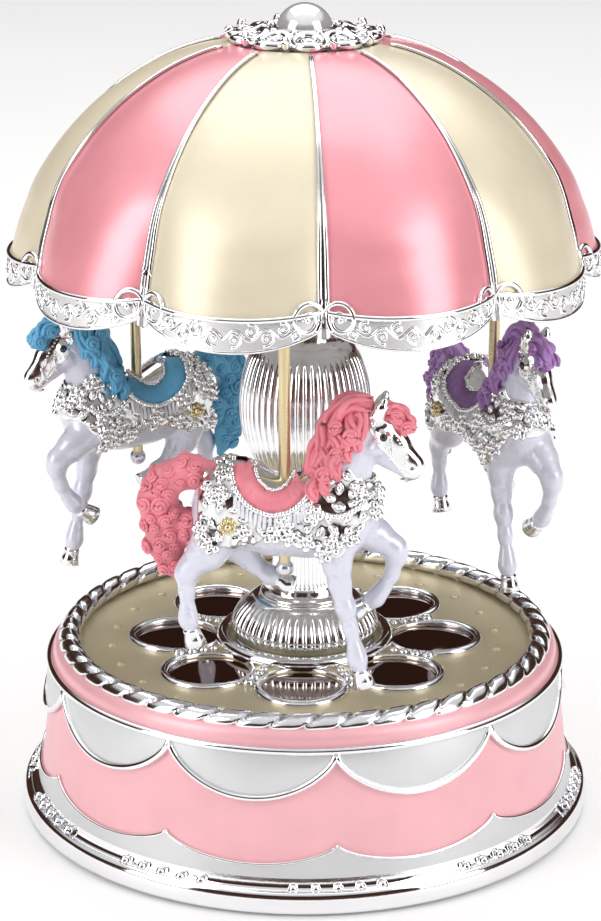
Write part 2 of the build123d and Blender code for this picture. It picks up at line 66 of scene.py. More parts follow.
def radius_of(node):
    low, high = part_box(node)
    return (high.x - low.x) / 2 / MM


# Driving dimensions, from the frame where it has them
HEIGHT = top_of("finial_ball")
FOOT_R = radius_of("base_ring")
DRUM_Z0, DRUM_Z1 = bottom_of("drum_wall"), top_of("drum_wall")
DECK_Z = top_of("deck_plate")
BALL_R = radius_of("finial_ball")
GORES, FIRST_RIB = 10, 3.57
HALF_GORE = 180 / GORES
BAND_LOW, BAND_HIGH = 104.3, 110.1
SWAGS, FIRST_SWAG = 10, 6.54
SKIRT_TOP, SKIRT_DIP = 12.4, 3.6
SWAG_TOP, SWAG_DIP = 29.3, 8.2
GADROONS = 48
PETALS, FIRST_PETAL, PETAL_R = 8, -1.5, 25.0
PETAL_LONG, PETAL_WIDE, PETAL_RIM = 8.0, 7.6, 0.55
REEDS = 50
POLE_CIRCLE = 40.5
# Bearing of each horse's pole, and the way the horse heads, from +X
HORSES = {"front": (-5.0, -5.0), "right": (115.0, -66.5), "left": (-125.0, 212.0)}


# Geometry helpers

def at(radius, bearing, z):
    """Points (x, y, z) from a radius, a bearing and a height."""
    angle = np.radians(bearing)
    return np.stack(np.broadcast_arrays(radius * np.sin(angle), -radius * np.cos(angle), z), -1)


def through(points, count):
    """Evenly counted points on a smooth curve through the given ones."""
    points = np.asarray(points, float)
    ends = [2 * points[0] - points[1], *points, 2 * points[-1] - points[-2]]
    p = np.array(ends)
    t = np.linspace(0, len(points) - 1, count)
    i = np.minimum(t.astype(int), len(points) - 2)
    f = (t - i)[:, None]
    a, b, c, d = p[i], p[i + 1], p[i + 2], p[i + 3]
    return 0.5 * (2 * b + (c - a) * f + (2 * a - 5 * b + 4 * c - d) * f**2 + (3 * b - a - 3 * c + d) * f**3)


def around(steps):
    """Column of evenly spaced bearings."""
    return np.linspace(0, 360, steps, endpoint=False)[:, None]


def unit(v):
    return v / np.maximum(np.linalg.norm(v, axis=-1, keepdims=True), 1e-9)


def ball_grid(sides=14, rings=8):
    """Unit ball without its two poles, as a grid of points."""
    u = np.linspace(0, 2 * np.pi, sides, endpoint=False)[:, None]
    v = np.linspace(-np.pi / 2, np.pi / 2, rings + 1)[1:-1]
    return np.stack(np.broadcast_arrays(np.cos(u) * np.cos(v), np.sin(u) * np.cos(v), np.sin(v)), -1)


BALL = ball_grid()


class Shape:
    """Vertices and faces, in millimetres, gathered for one mesh."""

    def __init__(self):
        self.verts, self.faces, self.paints, self.count = [], [], [], 0

    def add(self, verts, faces, paint=0):
        verts = np.asarray(verts, float).reshape(-1, 3)
        faces = np.asarray(faces, int)
        self.verts.append(verts)
        self.faces += (faces + self.count).tolist()
        self.paints += [paint] * len(faces)
        self.count += len(verts)

    def sheet(self, grid, wrap_u=False, wrap_v=False, paint=0):
        """Quads over a grid of points (u, v, 3)."""
        grid = np.asarray(grid)
        nu, nv = grid.shape[:2]
        u, v = np.meshgrid(np.arange(nu - (not wrap_u)), np.arange(nv - (not wrap_v)), indexing="ij")
        u2, v2 = (u + 1) % nu, (v + 1) % nv
        quads = np.stack([u * nv + v, u2 * nv + v, u2 * nv + v2, u * nv + v2], -1).reshape(-1, 4)
        self.add(grid, quads, paint)

    def fan(self, centre, rim):
        """Triangles from a ring of points to a centre."""
        rim = np.asarray(rim)
        n = len(rim)
        i = np.arange(n)
        self.add(np.vstack([rim, [centre]]), np.stack([i, (i + 1) % n, np.full(n, n)], -1))

    def ball(self, centre, radius, squash=(1, 1, 1)):
        grid = BALL * np.asarray(squash) * radius
        poles = np.array([[0, 0, -1.0], [0, 0, 1.0]]) * np.asarray(squash) * radius
        self.sheet(grid + centre, wrap_u=True)
        for row, pole in ((0, poles[0]), (-1, poles[1])):
            self.fan(pole + centre, grid[:, row] + centre)

    def lathe(self, profile, steps, carve=0.0):
        """Closed loop of (radius, z) turned about Z; carve is taken off the radius."""
        profile = np.asarray(profile, float)
        bearing = around(steps)
        self.sheet(at(profile[:, 0] - carve, bearing, profile[:, 1]), wrap_u=True, wrap_v=True)

    def tube(self, path, radius, sides=8, closed=False, up=None, cap=0.6):
        """Round rod along a path; cap is how far its open ends bulge, in radii."""
        path = np.asarray(path, float)
        if closed:
            ahead = np.roll(path, -1, 0) - np.roll(path, 1, 0)
        else:
            ahead = np.gradient(path, axis=0)
        ahead = unit(ahead)
        up = np.array([0.13, 0.21, 0.97]) if up is None else np.asarray(up, float)
        side = unit(np.cross(ahead, np.broadcast_to(up, ahead.shape)))
        rise = np.cross(side, ahead)
        radius = np.broadcast_to(np.asarray(radius, float), len(path))[:, None, None]
        turn = np.linspace(0, 2 * np.pi, sides, endpoint=False)[None, :, None]
        ring = side[:, None] * np.cos(turn) + rise[:, None] * np.sin(turn)
        grid = path[:, None] + ring * radius
        self.sheet(grid, wrap_u=closed, wrap_v=True)
        if not closed:
            for end, out in ((0, -1), (-1, 1)):
                self.fan(path[end] + out * ahead[end] * radius[end, 0] * cap, grid[end])

    def moved(self, turn, foot):
        """A copy turned by a matrix and carried to foot."""
        copy = Shape()
        copy.verts = [np.vstack(self.verts) @ turn.T + foot]
        copy.faces, copy.paints, copy.count = self.faces, self.paints, self.count
        return copy


def make(name, shape, materials, body, smooth=60):
    """Turns a Shape into an object that rides on a body; edges sharper than smooth degrees stay sharp."""
    mesh = bpy.data.meshes.new(name)
    mesh.from_pydata((np.vstack(shape.verts) * MM).tolist(), [], shape.faces)
    for m in materials:
        mesh.materials.append(m)
    if len(materials) > 1:
        mesh.polygons.foreach_set("material_index", shape.paints)
    work = bmesh.new()
    work.from_mesh(mesh)
    bmesh.ops.remove_doubles(work, verts=work.verts, dist=1e-7)
    bmesh.ops.recalc_face_normals(work, faces=work.faces)
    work.to_mesh(mesh)
    work.free()
    mesh.shade_smooth()
    if smooth < 180:
        mesh.set_sharp_from_angle(angle=math.radians(smooth))
    piece = bpy.data.objects.new(name, mesh)
    bpy.context.scene.collection.objects.link(piece)
    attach(piece, body)
    return piece


# Materials

def link(tree, a, b):
    tree.links.new(a, b)


def noise_at(tree, coords, scale, detail=3.0):
    node = tree.nodes.new("ShaderNodeTexNoise")
    node.inputs["Scale"].default_value = scale
    node.inputs["Detail"].default_value = detail
    link(tree, coords, node.inputs["Vector"])
    return node


def ramp(tree, source, stops):
    node = tree.nodes.new("ShaderNodeValToRGB")
    node.color_ramp.elements[0].position = stops[0][0]
    node.color_ramp.elements[1].position = stops[-1][0]
    for position, _ in stops[1:-1]:
        node.color_ramp.elements.new(position)
    for element, (_, colour) in zip(node.color_ramp.elements, stops):
        element.color = (*colour, 1)
    link(tree, source, node.inputs["Fac"])
    return node


def shade(colour, factor):
    return tuple(min(1.0, c * factor) for c in colour)


def material(name, colour, metallic=0.0, roughness=0.4, spread=0.06, mottle=0.05, mottle_scale=90.0,
             grain=0.02, grain_scale=2200.0, coat=0.0, coat_rough=0.1, sheen=0.0, crease_shade=None,
             specular=0.5, subsurface=0.0):
    """Procedural finish: mottled colour, roughness varied by spread, and fine grain; crease_shade darkens
    creases as painted shade.
    """
    m = bpy.data.materials.new(name)
    m.use_nodes = True
    tree = m.node_tree
    shader = tree.nodes["Principled BSDF"]
    shader.inputs["Metallic"].default_value = metallic
    shader.inputs["Coat Weight"].default_value = coat
    shader.inputs["Coat Roughness"].default_value = coat_rough
    shader.inputs["Sheen Weight"].default_value = sheen
    shader.inputs["Specular IOR Level"].default_value = specular
    if subsurface:
        shader.inputs["Subsurface Weight"].default_value = subsurface
        shader.inputs["Subsurface Radius"].default_value = (0.002, 0.0016, 0.0014)
    coords = tree.nodes.new("ShaderNodeTexCoord").outputs["Object"]
    cloud = noise_at(tree, coords, mottle_scale)
    stops = [(0.3, shade(colour, 1 - mottle)), (0.7, shade(colour, 1 + mottle))]
    out = ramp(tree, cloud.outputs["Fac"], stops).outputs["Color"]
    # Painted shade: pointiness darkens the base colour in creases and grooves, where shade falls.
    if crease_shade is not None:
        geometry = tree.nodes.new("ShaderNodeNewGeometry")
        crease_shade_ramp = ramp(tree, geometry.outputs["Pointiness"], [(0.42, crease_shade), (0.52, (1, 1, 1))])
        mix = tree.nodes.new("ShaderNodeMix")
        mix.data_type = "RGBA"
        mix.blend_type = "MULTIPLY"
        mix.inputs["Factor"].default_value = 1.0
        link(tree, out, mix.inputs["A"])
        link(tree, crease_shade_ramp.outputs["Color"], mix.inputs["B"])
        out = mix.outputs["Result"]
    link(tree, out, shader.inputs["Base Color"])
    smear = noise_at(tree, coords, mottle_scale * 3.1)
    levels = tree.nodes.new("ShaderNodeMapRange")
    levels.inputs["To Min"].default_value = max(0.02, roughness - spread)
    levels.inputs["To Max"].default_value = roughness + spread
    link(tree, smear.outputs["Fac"], levels.inputs["Value"])
    link(tree, levels.outputs["Result"], shader.inputs["Roughness"])
    if grain:
        dust = noise_at(tree, coords, grain_scale, 4.0)
        bump = tree.nodes.new("ShaderNodeBump")
        bump.inputs["Strength"].default_value = grain
        bump.inputs["Distance"].default_value = 0.0004
        link(tree, dust.outputs["Fac"], bump.inputs["Height"])
        link(tree, bump.outputs["Normal"], shader.inputs["Normal"])
    return m


PLATING = (0.90, 0.905, 0.92)
chrome = material("polished_plating", PLATING, 1.0, 0.07, 0.03, 0.02, grain=0.01)
# Relief plating: its creases are darkened with painted shade.
relief_chrome = material("relief_plating", PLATING, 1.0, 0.14, 0.05, 0.03, grain=0.03,
                         crease_shade=(0.26, 0.24, 0.22))
column_chrome = material("column_plating", (0.90, 0.90, 0.90), 1.0, 0.13, 0.05, 0.03, grain=0.02)
satin_silver = material("satin_silver", (0.66, 0.67, 0.68), 0.5, 0.34, 0.05, 0.03, grain=0.05)
satin_pink = material("satin_pink", (0.90, 0.35, 0.40), 0.28, 0.30, 0.04, 0.04, grain=0.05, coat=0.25,
                      coat_rough=0.25)
satin_beige = material("satin_beige", (0.77, 0.69, 0.52), 0.18, 0.34, 0.04, 0.04, grain=0.05, coat=0.2,
                       coat_rough=0.25)
drum_pink = material("drum_pink", (0.87, 0.46, 0.50), 0.2, 0.36, 0.05, 0.04, grain=0.06, coat=0.15,
                     coat_rough=0.3)
deck_beige = material("deck_beige", (0.60, 0.52, 0.34), 0.32, 0.36, 0.06, 0.08, 60.0, grain=0.12)
# Mirror petals: the plating's dark brown tint is a painted reflection of the dark canopy underside.
mirror_painted_reflection = material("smoked_mirror", (0.42, 0.34, 0.32), 1.0, 0.035, 0.015, 0.03, grain=0.004)
band_chrome = material("band_plating", (0.66, 0.65, 0.64), 1.0, 0.12, 0.05, 0.04, grain=0.03)
# Dark plating laid in the rib grooves and under the crown leaves: its darkness is painted shade.
groove_shade_chrome = material("groove_shade_plating", (0.34, 0.33, 0.33), 1.0, 0.22, 0.05, 0.05, grain=0.03)
knob_silver = material("knob_plating", (0.72, 0.71, 0.75), 0.8, 0.22, 0.05, 0.04, grain=0.03)
finial_chrome = material("finial_plating", (0.92, 0.92, 0.94), 0.62, 0.10, 0.04, 0.03, grain=0.02)
lining = material("canopy_lining", (0.62, 0.61, 0.60), 0.1, 0.45, 0.05, 0.04, grain=0.08)
pole_gold = material("pole_gold", (0.66, 0.55, 0.33), 0.9, 0.28, 0.06, 0.05, grain=0.05)


# Foot ring

def foot_ring():
    outer = through([(53.9, 0.4), (54.8, 0.9), (FOOT_R - 0.05, 2.2), (FOOT_R - 0.05, 3.4), (54.8, 4.5),
                     (54.25, 4.9)], 16)
    cove = through([(54.25, 4.9), (53.7, 4.45), (53.0, 4.3), (52.4, 4.8), (52.15, 5.7), (51.95, 6.5)], 14)
    inner = [(46.5, 6.5), (46.5, 2.6), (49.2, 2.6), (49.2, 0.4)]
    shape = Shape()
    shape.lathe([*outer, *cove[1:], *inner], 360)
    piece = make("foot_ring", shape, [chrome], "base", 40)
    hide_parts("base_ring")
    pearls = Shape()
    for group in range(SWAGS):
        for i in range(-2, 3):
            bearing = FIRST_SWAG + group * 360 / SWAGS + i * 4.4
            pearls.ball(at(53.1, bearing, 4.95), 0.95)
    make("foot_pearls", pearls, [chrome], "base")


# Drum wall: pink between a scalloped silver skirt and silver swags

def wall_radius(z):
    """Radius of the flared drum wall at a height."""
    return np.interp(z, [6.5, 12.4, 21.0, 29.3, 30.6, 32.0], [51.8, 50.8, 49.8, 48.9, 48.8, 48.5])


def bow(bearing, power):
    """0 at the swag joints and 1 half-way between them."""
    t = ((bearing - FIRST_SWAG) / (360 / SWAGS)) % 1.0 * 2 - 1
    return np.maximum(1 - t * t, 0.0) ** power


def skirt_z(bearing):
    """Upper edge of the skirt."""
    return SKIRT_TOP - SKIRT_DIP * bow(bearing, 0.7)


def swag_z(bearing):
    """Lower edge of the swags."""
    return SWAG_TOP - SWAG_DIP * bow(bearing, 0.72)


def drum():
    bearing = around(720)
    bottom = np.zeros_like(bearing) + DRUM_Z0

    def rim(z, lift):
        return at(wall_radius(z) + lift, bearing, z)

    def band(low, high, rows, lift):
        return rim(low + (high - low) * np.linspace(0, 1, rows), lift)

    skirt = Shape()
    skirt_top = skirt_z(bearing)
    grid = np.concatenate([rim(bottom, -1.5), band(bottom, skirt_top, 9, 0.35), rim(skirt_top, -0.6)], 1)
    skirt.sheet(grid, wrap_u=True, wrap_v=True)
    make("drum_skirt", skirt, [satin_silver], "base", 50)

    wall = Shape()
    shoulder = np.array([(48.25, 32.7), (47.6, 33.3), (46.6, 33.7), (45.8, 33.6), (45.8, 31.6)])
    grid = np.concatenate([rim(bottom + 0.1, -1.9), band(bottom + 0.1, DRUM_Z1, 48, 0.0),
                           at(shoulder[:, 0], bearing, shoulder[:, 1])], 1)
    wall.sheet(grid, wrap_u=True, wrap_v=True)
    piece = make("drum_wall_pink", wall, [drum_pink], "base", 50)
    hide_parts("drum_wall")

    swags = Shape()
    low, high = swag_z(bearing), np.zeros_like(bearing) + SWAG_TOP + 0.1
    pillow = 0.55 + 0.25 * np.sin(np.pi * np.linspace(0, 1, 11)) * bow(bearing, 0.5)
    grid = np.concatenate([rim(low, -0.6), band(low, high, 11, pillow), rim(high, -0.6)], 1)
    swags.sheet(grid, wrap_u=True, wrap_v=True)
    make("drum_swags", swags, [satin_silver], "base", 50)

    trim = Shape()
    trim.tube(rim(30.0, 0.45)[:, 0], 0.75, 10, closed=True)
    for i in range(SWAGS):
        start = FIRST_SWAG + i * 360 / SWAGS
        span = np.linspace(start, start + 360 / SWAGS, 61)
        for edge, joint, lift, size, sides in ((swag_z, SWAG_TOP, 0.62, 0.64, 10),
                                               (skirt_z, SKIRT_TOP, 0.3, 0.3, 8)):
            z = edge(span + 1e-4)
            z[0] = z[-1] = joint
            trim.tube(at(wall_radius(z) + lift, span, z), size, sides)
    make("drum_piping", trim, [chrome], "base")


# Deck: petal rims, bead rows and dots on the beige plate, with the gadrooned ring round it

def oval(centre, long, wide, a):
    """Radius and bearing of points on an oval that lies along a ray from the axis."""
    along, across = centre + long * np.cos(a), wide * np.sin(a)
    return np.hypot(along, across), np.degrees(np.arctan2(across, along))


def deck_relief():
    silver = Shape()
    for i in range(PETALS):
        bearing = FIRST_PETAL + i * 360 / PETALS
        a = np.linspace(0, 2 * np.pi, 72, endpoint=False)
        radius, turn = oval(PETAL_R, PETAL_LONG + PETAL_RIM, PETAL_WIDE + PETAL_RIM, a)
        size = 0.45 + 0.45 * np.clip(np.cos(a) + 0.6, 0, 1)
        silver.tube(at(radius, bearing + turn, DECK_Z + 0.15), size, 10, closed=True, up=(0, 0, 1))
        for radius, size in ((18.8, 0.8), (20.8, 0.9), (23.1, 1.05), (25.8, 1.2)):
            silver.ball(at(radius, bearing + 180 / PETALS, DECK_Z + 0.45), size, (1, 1, 0.85))
    make("deck_petal_rims", silver, [relief_chrome], "base")
    dots = Shape()
    for i in range(24):
        dots.ball(at(37.3, FIRST_PETAL + 7.5 + i * 15, DECK_Z), 0.95, (1, 1, 0.42))
    make("deck_dots", dots, [deck_beige], "base")


def gadroon_ring():
    """Ruffled collar: overlapping shells whose outer edge dips between slits."""
    loop = through([(44.2, 32.05), (43.6, 33.0), (43.7, 34.2), (44.6, 35.1), (45.7, 35.2), (46.7, 34.7),
                    (47.3, 33.9), (47.1, 33.2), (46.3, 32.7)], 26)
    place = np.linspace(0, 1, len(loop))
    bearing = around(GADROONS * 16)
    s = (bearing * GADROONS / 360 + 1.3 * place) % 1.0 * 2 - 1
    shell = np.sqrt(np.maximum(1 - np.abs(s) ** 4.0, 0))
    centre = np.array([45.2, 33.6])
    away = unit(loop - centre)
    fade = np.sin(np.pi * place) ** 0.5
    swell = (shell - 0.70) * 1.05 * fade
    dip = 0.7 * np.exp(-((place - 0.75) / 0.16) ** 2) * (0.7 - shell)
    radius, z = loop[:, 0] + away[:, 0] * swell, loop[:, 1] + away[:, 1] * swell + dip
    shape = Shape()
    shape.sheet(at(radius, bearing, z), wrap_u=True, wrap_v=True)
    piece = make("deck_ruffle", shape, [relief_chrome], "base")
    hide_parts("deck_trim_ring")


# Column

COLUMN_BORE = 3.2


def smooth_step(z, low, high):
    t = np.clip((z - low) / (high - low), 0, 1)
    return t * t * (3 - 2 * t)


def reeded(name, node, outline, count=48, depth=0.0, rise=(0, 1), fall=(2, 3)):
    """Turned piece with upright reeds that deepen over the heights in rise and fade over those in fall."""
    profile = through(outline, count)
    z = profile[:, 1]
    depths = depth * smooth_step(z, *rise) * (1 - smooth_step(z, *fall))
    across = (around(REEDS * 8) * REEDS / 360) % 1.0 * 2 - 1
    carve = (1 - np.sqrt(np.maximum(1 - across * across, 0))) * np.append(depths, (0, 0))
    shape = Shape()
    shape.lathe([*profile, (COLUMN_BORE, z[-1]), (COLUMN_BORE, z[0])], REEDS * 8, carve)
    piece = make(name, shape, [column_chrome], "base")
    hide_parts(node)


def column():
    collar = Shape()
    collar.lathe(through([(14.9, 32.0), (14.7, 33.3), (15.3, 34.1), (16.2, 34.2), (16.9, 33.7), (17.2, 32.9),
                          (17.2, 32.0)], 22), 200)
    piece = make("column_base_ring", collar, [chrome], "base", 50)
    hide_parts("column_collar")
    reeded("column_foot_reeded", "column_foot",
           [(13.3, 32.0), (13.5, 32.6), (13.1, 33.2), (13.4, 33.8), (14.2, 35.6), (13.7, 37.5), (12.3, 39.4),
            (10.2, 41.0), (8.7, 41.4), (8.5, 42.2), (7.6, 42.9), (7.2, 44.0)],
           48, 0.42, (34.0, 35.0), (39.6, 40.8))
    reeded("column_neck_reeded", "column_neck",
           [(6.6, 44.0), (6.4, 46.0), (6.0, 50.0), (5.5, 55.0), (5.9, 60.0), (7.1, 62.9), (7.9, 63.4),
            (8.15, 64.2), (7.8, 65.2), (7.9, 65.6), (8.2, 66.4), (7.9, 67.0)],
           60, 0.3, (44.2, 45.4), (61.0, 62.6))
    reeded("column_bulb_reeded", "column_bulb",
           [(8.4, 67.0), (8.8, 68.0), (10.0, 69.4), (11.4, 72.9), (12.2, 76.4), (12.45, 80.0), (12.1, 84.0),
            (11.0, 88.0), (9.6, 90.8), (8.4, 92.0)],
           60, 0.4, (68.6, 70.2), (88.6, 90.8))
    reeded("column_cone", "column_cap",
           [(7.4, 92.0), (6.7, 92.8), (6.3, 95.0), (5.7, 100.0), (5.3, 106.0), (5.1, 112.0), (5.0, 116.0)], 30)


# Canopy: levels from rim to crown, as height, crest radius and valley radius

CANOPY = through([(BAND_HIGH, 54.2, 50.7), (115.0, 52.8, 49.7), (118.9, 51.3, 48.6), (122.6, 49.8, 47.5),
                  (126.3, 47.6, 45.9), (130.0, 44.9, 43.4), (133.7, 41.7, 40.4), (137.4, 37.8, 36.7),
                  (141.0, 33.0, 32.0), (144.6, 26.6, 25.8), (147.0, 20.0, 19.4), (148.2, 14.0, 13.6)], 56)
PANEL_WALL = 1.5


def lobed(crest, valley, off):
    """Radius at an angle off a gore's centre, on the arc through its crest and its two valleys."""
    front = valley * math.cos(math.radians(HALF_GORE))
    centre = (crest**2 - valley**2) / (2 * (crest - front))
    arc = crest - centre
    angle = np.radians(off)
    return centre * np.cos(angle) + np.sqrt(arc**2 - (centre * np.sin(angle))**2)


def off_centre(bearing):
    """Angle from the middle of the nearest gore."""
    return (bearing - FIRST_RIB) % (2 * HALF_GORE) - HALF_GORE


def rim_radius(bearing, z):
    """Radius of the canopy near its rim, carried on down to the band's lower edge."""
    levels = [BAND_LOW, BAND_HIGH, 115.0, 118.9]
    crest = np.interp(z, levels, [54.6, 54.2, 52.8, 51.3])
    valley = np.interp(z, levels, [51.2, 50.7, 49.7, 48.6])
    return lobed(crest, valley, off_centre(bearing))


def cusp(bearing):
    """1 at the ribs and 0 at the middle of a gore."""
    return np.abs(off_centre(bearing) / HALF_GORE) ** 2.2


def band_low(bearing):
    return BAND_LOW + 3.6 * cusp(bearing)


def band_high(bearing):
    return BAND_HIGH + 0.9 * cusp(bearing)


def gores(name, first, paint):
    """Every second gore from the first one: enamelled outside, lined inside."""
    shape = Shape()
    off = np.linspace(-HALF_GORE, HALF_GORE, 33)
    z, crest, valley = CANOPY.T
    for k in range(first, GORES, 2):
        middle = FIRST_RIB + HALF_GORE + k * 2 * HALF_GORE
        radius = lobed(crest[:, None], valley[:, None], off)
        outer = at(radius, middle + off, z[:, None])
        drop = PANEL_WALL * np.linspace(0.0, 1.0, len(z))
        inner = at(radius - PANEL_WALL, middle + off, (z - drop)[:, None])
        shape.sheet(outer)
        shape.sheet(inner, paint=1)
        for edge in (np.stack([outer[0], inner[0]]), np.stack([outer[-1], inner[-1]]),
                     np.stack([outer[:, 0], inner[:, 0]], 1), np.stack([outer[:, -1], inner[:, -1]], 1)):
            shape.sheet(edge)
    return make(name, shape, [paint, lining], "carousel", 35)


def canopy_ribs():
    """Twin beads along each valley, thinning towards the crown, over a dark plated groove whose darkness is
    painted shade.
    """
    beads, groove = Shape(), Shape()
    z, _, valley = CANOPY.T
    keep = valley > 15.0
    foot = np.array([[106.6, 51.25], [108.3, 51.0]])
    z, valley = np.concatenate([foot[:, 0], z[keep]]), np.concatenate([foot[:, 1], valley[keep]])
    slope = np.gradient(z), np.gradient(valley)
    length = np.hypot(*slope)
    out_r, out_z = slope[0] / length, -slope[1] / length
    full = 1 - smooth_step(z, 113.0, 143.0)
    for k in range(GORES):
        bearing = FIRST_RIB + k * 2 * HALF_GORE
        for side in (-1, 1):
            radius, height = valley + out_r * 0.42, z + out_z * 0.42
            turn = bearing + side * np.degrees((0.2 + 0.42 * full) / radius)
            beads.tube(at(radius, turn, height), 0.26 + 0.2 * full, 8)
        groove.tube(at(valley + out_r * 0.12, bearing, z + out_z * 0.12), 0.4 + 0.4 * full, 8)
    piece = make("canopy_rib_beads", beads, [chrome], "carousel")
    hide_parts("canopy_ribs")
    make("canopy_rib_grooves", groove, [groove_shade_chrome], "carousel")


def on_rim(bearing, z, lift):
    """Points lifted off the canopy's rim."""
    return at(rim_radius(bearing, z) + lift, bearing, z)


def canopy_band():
    band = Shape()
    bearing = FIRST_RIB + around(720)
    low, high = band_low(bearing), band_high(bearing)
    z = low + (high - low) * np.linspace(0, 1, 9)
    outer = on_rim(bearing, z, 0.35)
    inner = at(rim_radius(bearing, z[:, ::-1]) - 1.3, bearing, z[:, ::-1])
    band.sheet(np.concatenate([outer, inner], 1), wrap_u=True, wrap_v=True)
    piece = make("canopy_band_plate", band, [band_chrome], "carousel", 50)
    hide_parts("canopy_band")

    relief = Shape()
    for k in range(GORES):
        left = FIRST_RIB + k * 2 * HALF_GORE
        span = np.linspace(left, left + 2 * HALF_GORE, 49)
        edge = np.clip(span, left + 1e-3, left + 2 * HALF_GORE - 1e-3)
        relief.tube(on_rim(edge, band_low(edge) + 0.25, 0.3), 0.32, 8)
        relief.tube(on_rim(edge, band_high(edge) - 0.1, 0.35), 0.5, 8)
        middle = left + HALF_GORE
        for side in (-1, 1):
            scrollwork(relief, middle, side)
        medallion(relief, left)
    make("canopy_scrollwork", relief, [chrome], "carousel")


def scroll(turns, start_r, end_r, first, hand, count):
    """Flat spiral from its mouth to its eye, about the origin."""
    t = np.linspace(0, 1, count)
    radius = start_r + (end_r - start_r) * t
    angle = first + hand * t * turns * 2 * np.pi
    return np.stack([radius * np.cos(angle), radius * np.sin(angle)], -1)


def scrollwork(relief, middle, side):
    """Vine of scrolls on half of one scallop, each with a bud; side mirrors it."""
    arc = 54.4

    def place(points, thick):
        bearing = middle + side * np.degrees(points[:, 0] / arc)
        squeeze = 1 - 0.35 * cusp(bearing)
        relief.tube(on_rim(bearing, band_low(bearing) + points[:, 1] * squeeze, 0.4), thick, 7)

    stem = through([(0.0, 2.4), (2.0, 4.0), (4.6, 2.2), (7.2, 4.0), (9.8, 2.0), (12.4, 3.3)], 50)
    place(stem, 0.3)
    for x, w, size, hand in ((1.9, 2.5, 1.35, 1), (4.7, 3.75, 1.35, -1), (7.3, 2.35, 1.4, 1),
                             (10.0, 3.5, 1.25, -1), (12.0, 1.8, 0.9, 1)):
        curl = scroll(1.1, size, 0.42, -hand * 1.9, hand, 34) + (x, w)
        place(curl, np.linspace(0.36, 0.24, len(curl)))
        bearing = middle + side * np.degrees(x / arc)
        relief.ball(on_rim(bearing, band_low(bearing) + w * (1 - 0.35 * cusp(bearing)), 0.45), 0.42)


def medallion(relief, rib):
    """Pair of volutes curling away from the foot of a rib."""
    arc, eye_x, eye_z = 51.6, 2.75, 109.7
    for side in (-1, 1):
        t = np.linspace(0, 1, 64)
        angle = np.radians(200 - 560 * t)
        radius = 2.9 - 2.2 * t
        x = eye_x + radius * np.cos(angle)
        z = eye_z + radius * np.sin(angle) * 1.15
        relief.tube(on_rim(rib + side * np.degrees(x / arc), z, 0.4), 0.52 - 0.2 * t, 9)
        relief.ball(on_rim(rib + side * math.degrees(eye_x / arc), eye_z, 0.45), 0.6)
        x, z = through([(0.35, 113.2), (0.6, 111.4), (0.65, 109.4), (1.3, 107.7)], 18).T
        relief.tube(on_rim(rib + side * np.degrees(x / arc), z, 0.42), np.linspace(0.3, 0.55, 18), 8)


# Crown of the canopy

CROWN_R = 10.6


def crown():
    """Wreath of open scrolls with upturned tips round the finial ball."""
    shape, bed = Shape(), Shape()
    # The dark-plated bed under the scrolls stands for the shade between them: painted shade.
    bed.lathe(through([(3.0, 148.3), (9.0, 148.2), (11.6, 147.9), (12.3, 148.1), (11.2, 148.8), (8.6, 149.3),
                       (6.8, 149.6), (6.0, 150.6), (5.2, 150.9), (3.0, 150.6)], 40), 160)
    piece = make("crown_bed", bed, [groove_shade_chrome], "carousel")
    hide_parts("finial_rosette")
    a = np.linspace(0, 2 * np.pi, 30, endpoint=False)
    radius, turn = oval(CROWN_R, 2.9, 2.7, a)
    z = 149.9 - 0.2 * (CROWN_R - 8.0 + 2.9 * np.cos(a)) + 0.3 * np.cos(2 * a)
    tip = through([(11.4, 148.7), (13.0, 149.0), (13.9, 149.7), (13.7, 150.4), (13.1, 150.4)], 12)
    for i in range(GORES):
        bearing = FIRST_RIB + i * 2 * HALF_GORE
        shape.tube(at(radius, bearing + turn, z), 0.85, 10, closed=True, up=(0, 0, 1))
        curl = scroll(1.3, 1.5, 0.4, 2.4, 1 if i % 2 else -1, 30)
        shape.tube(at(CROWN_R + curl[:, 0], bearing + np.degrees(curl[:, 1] / CROWN_R), 149.75), 0.4, 8)
        shape.ball(at(CROWN_R, bearing, 149.8), 0.62, (1, 1, 0.8))
        between = bearing + HALF_GORE
        shape.tube(at(tip[:, 0], between, tip[:, 1]), np.linspace(1.15, 0.5, 12), 9)
        shape.ball(at(7.3, between, 150.3), 0.9)
        shape.ball(at(9.0, between, 149.7), 0.65)
    make("crown_leaves", shape, [relief_chrome], "carousel")

    ball = Shape()
    centre = HEIGHT - BALL_R
    polar = np.radians(np.linspace(-66, 90, 40)[:-1])
    grid = at(BALL_R * np.cos(polar), around(72), centre + BALL_R * np.sin(polar))
    ball.sheet(grid, wrap_u=True)
    ball.fan((0, 0, HEIGHT), grid[:, -1])
    ball.fan((0, 0, centre + BALL_R * math.sin(polar[0])), grid[:, 0])
    piece = make("finial_ball_polished", ball, [finial_chrome], "carousel")
    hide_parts("finial_ball")


# Modelling clay

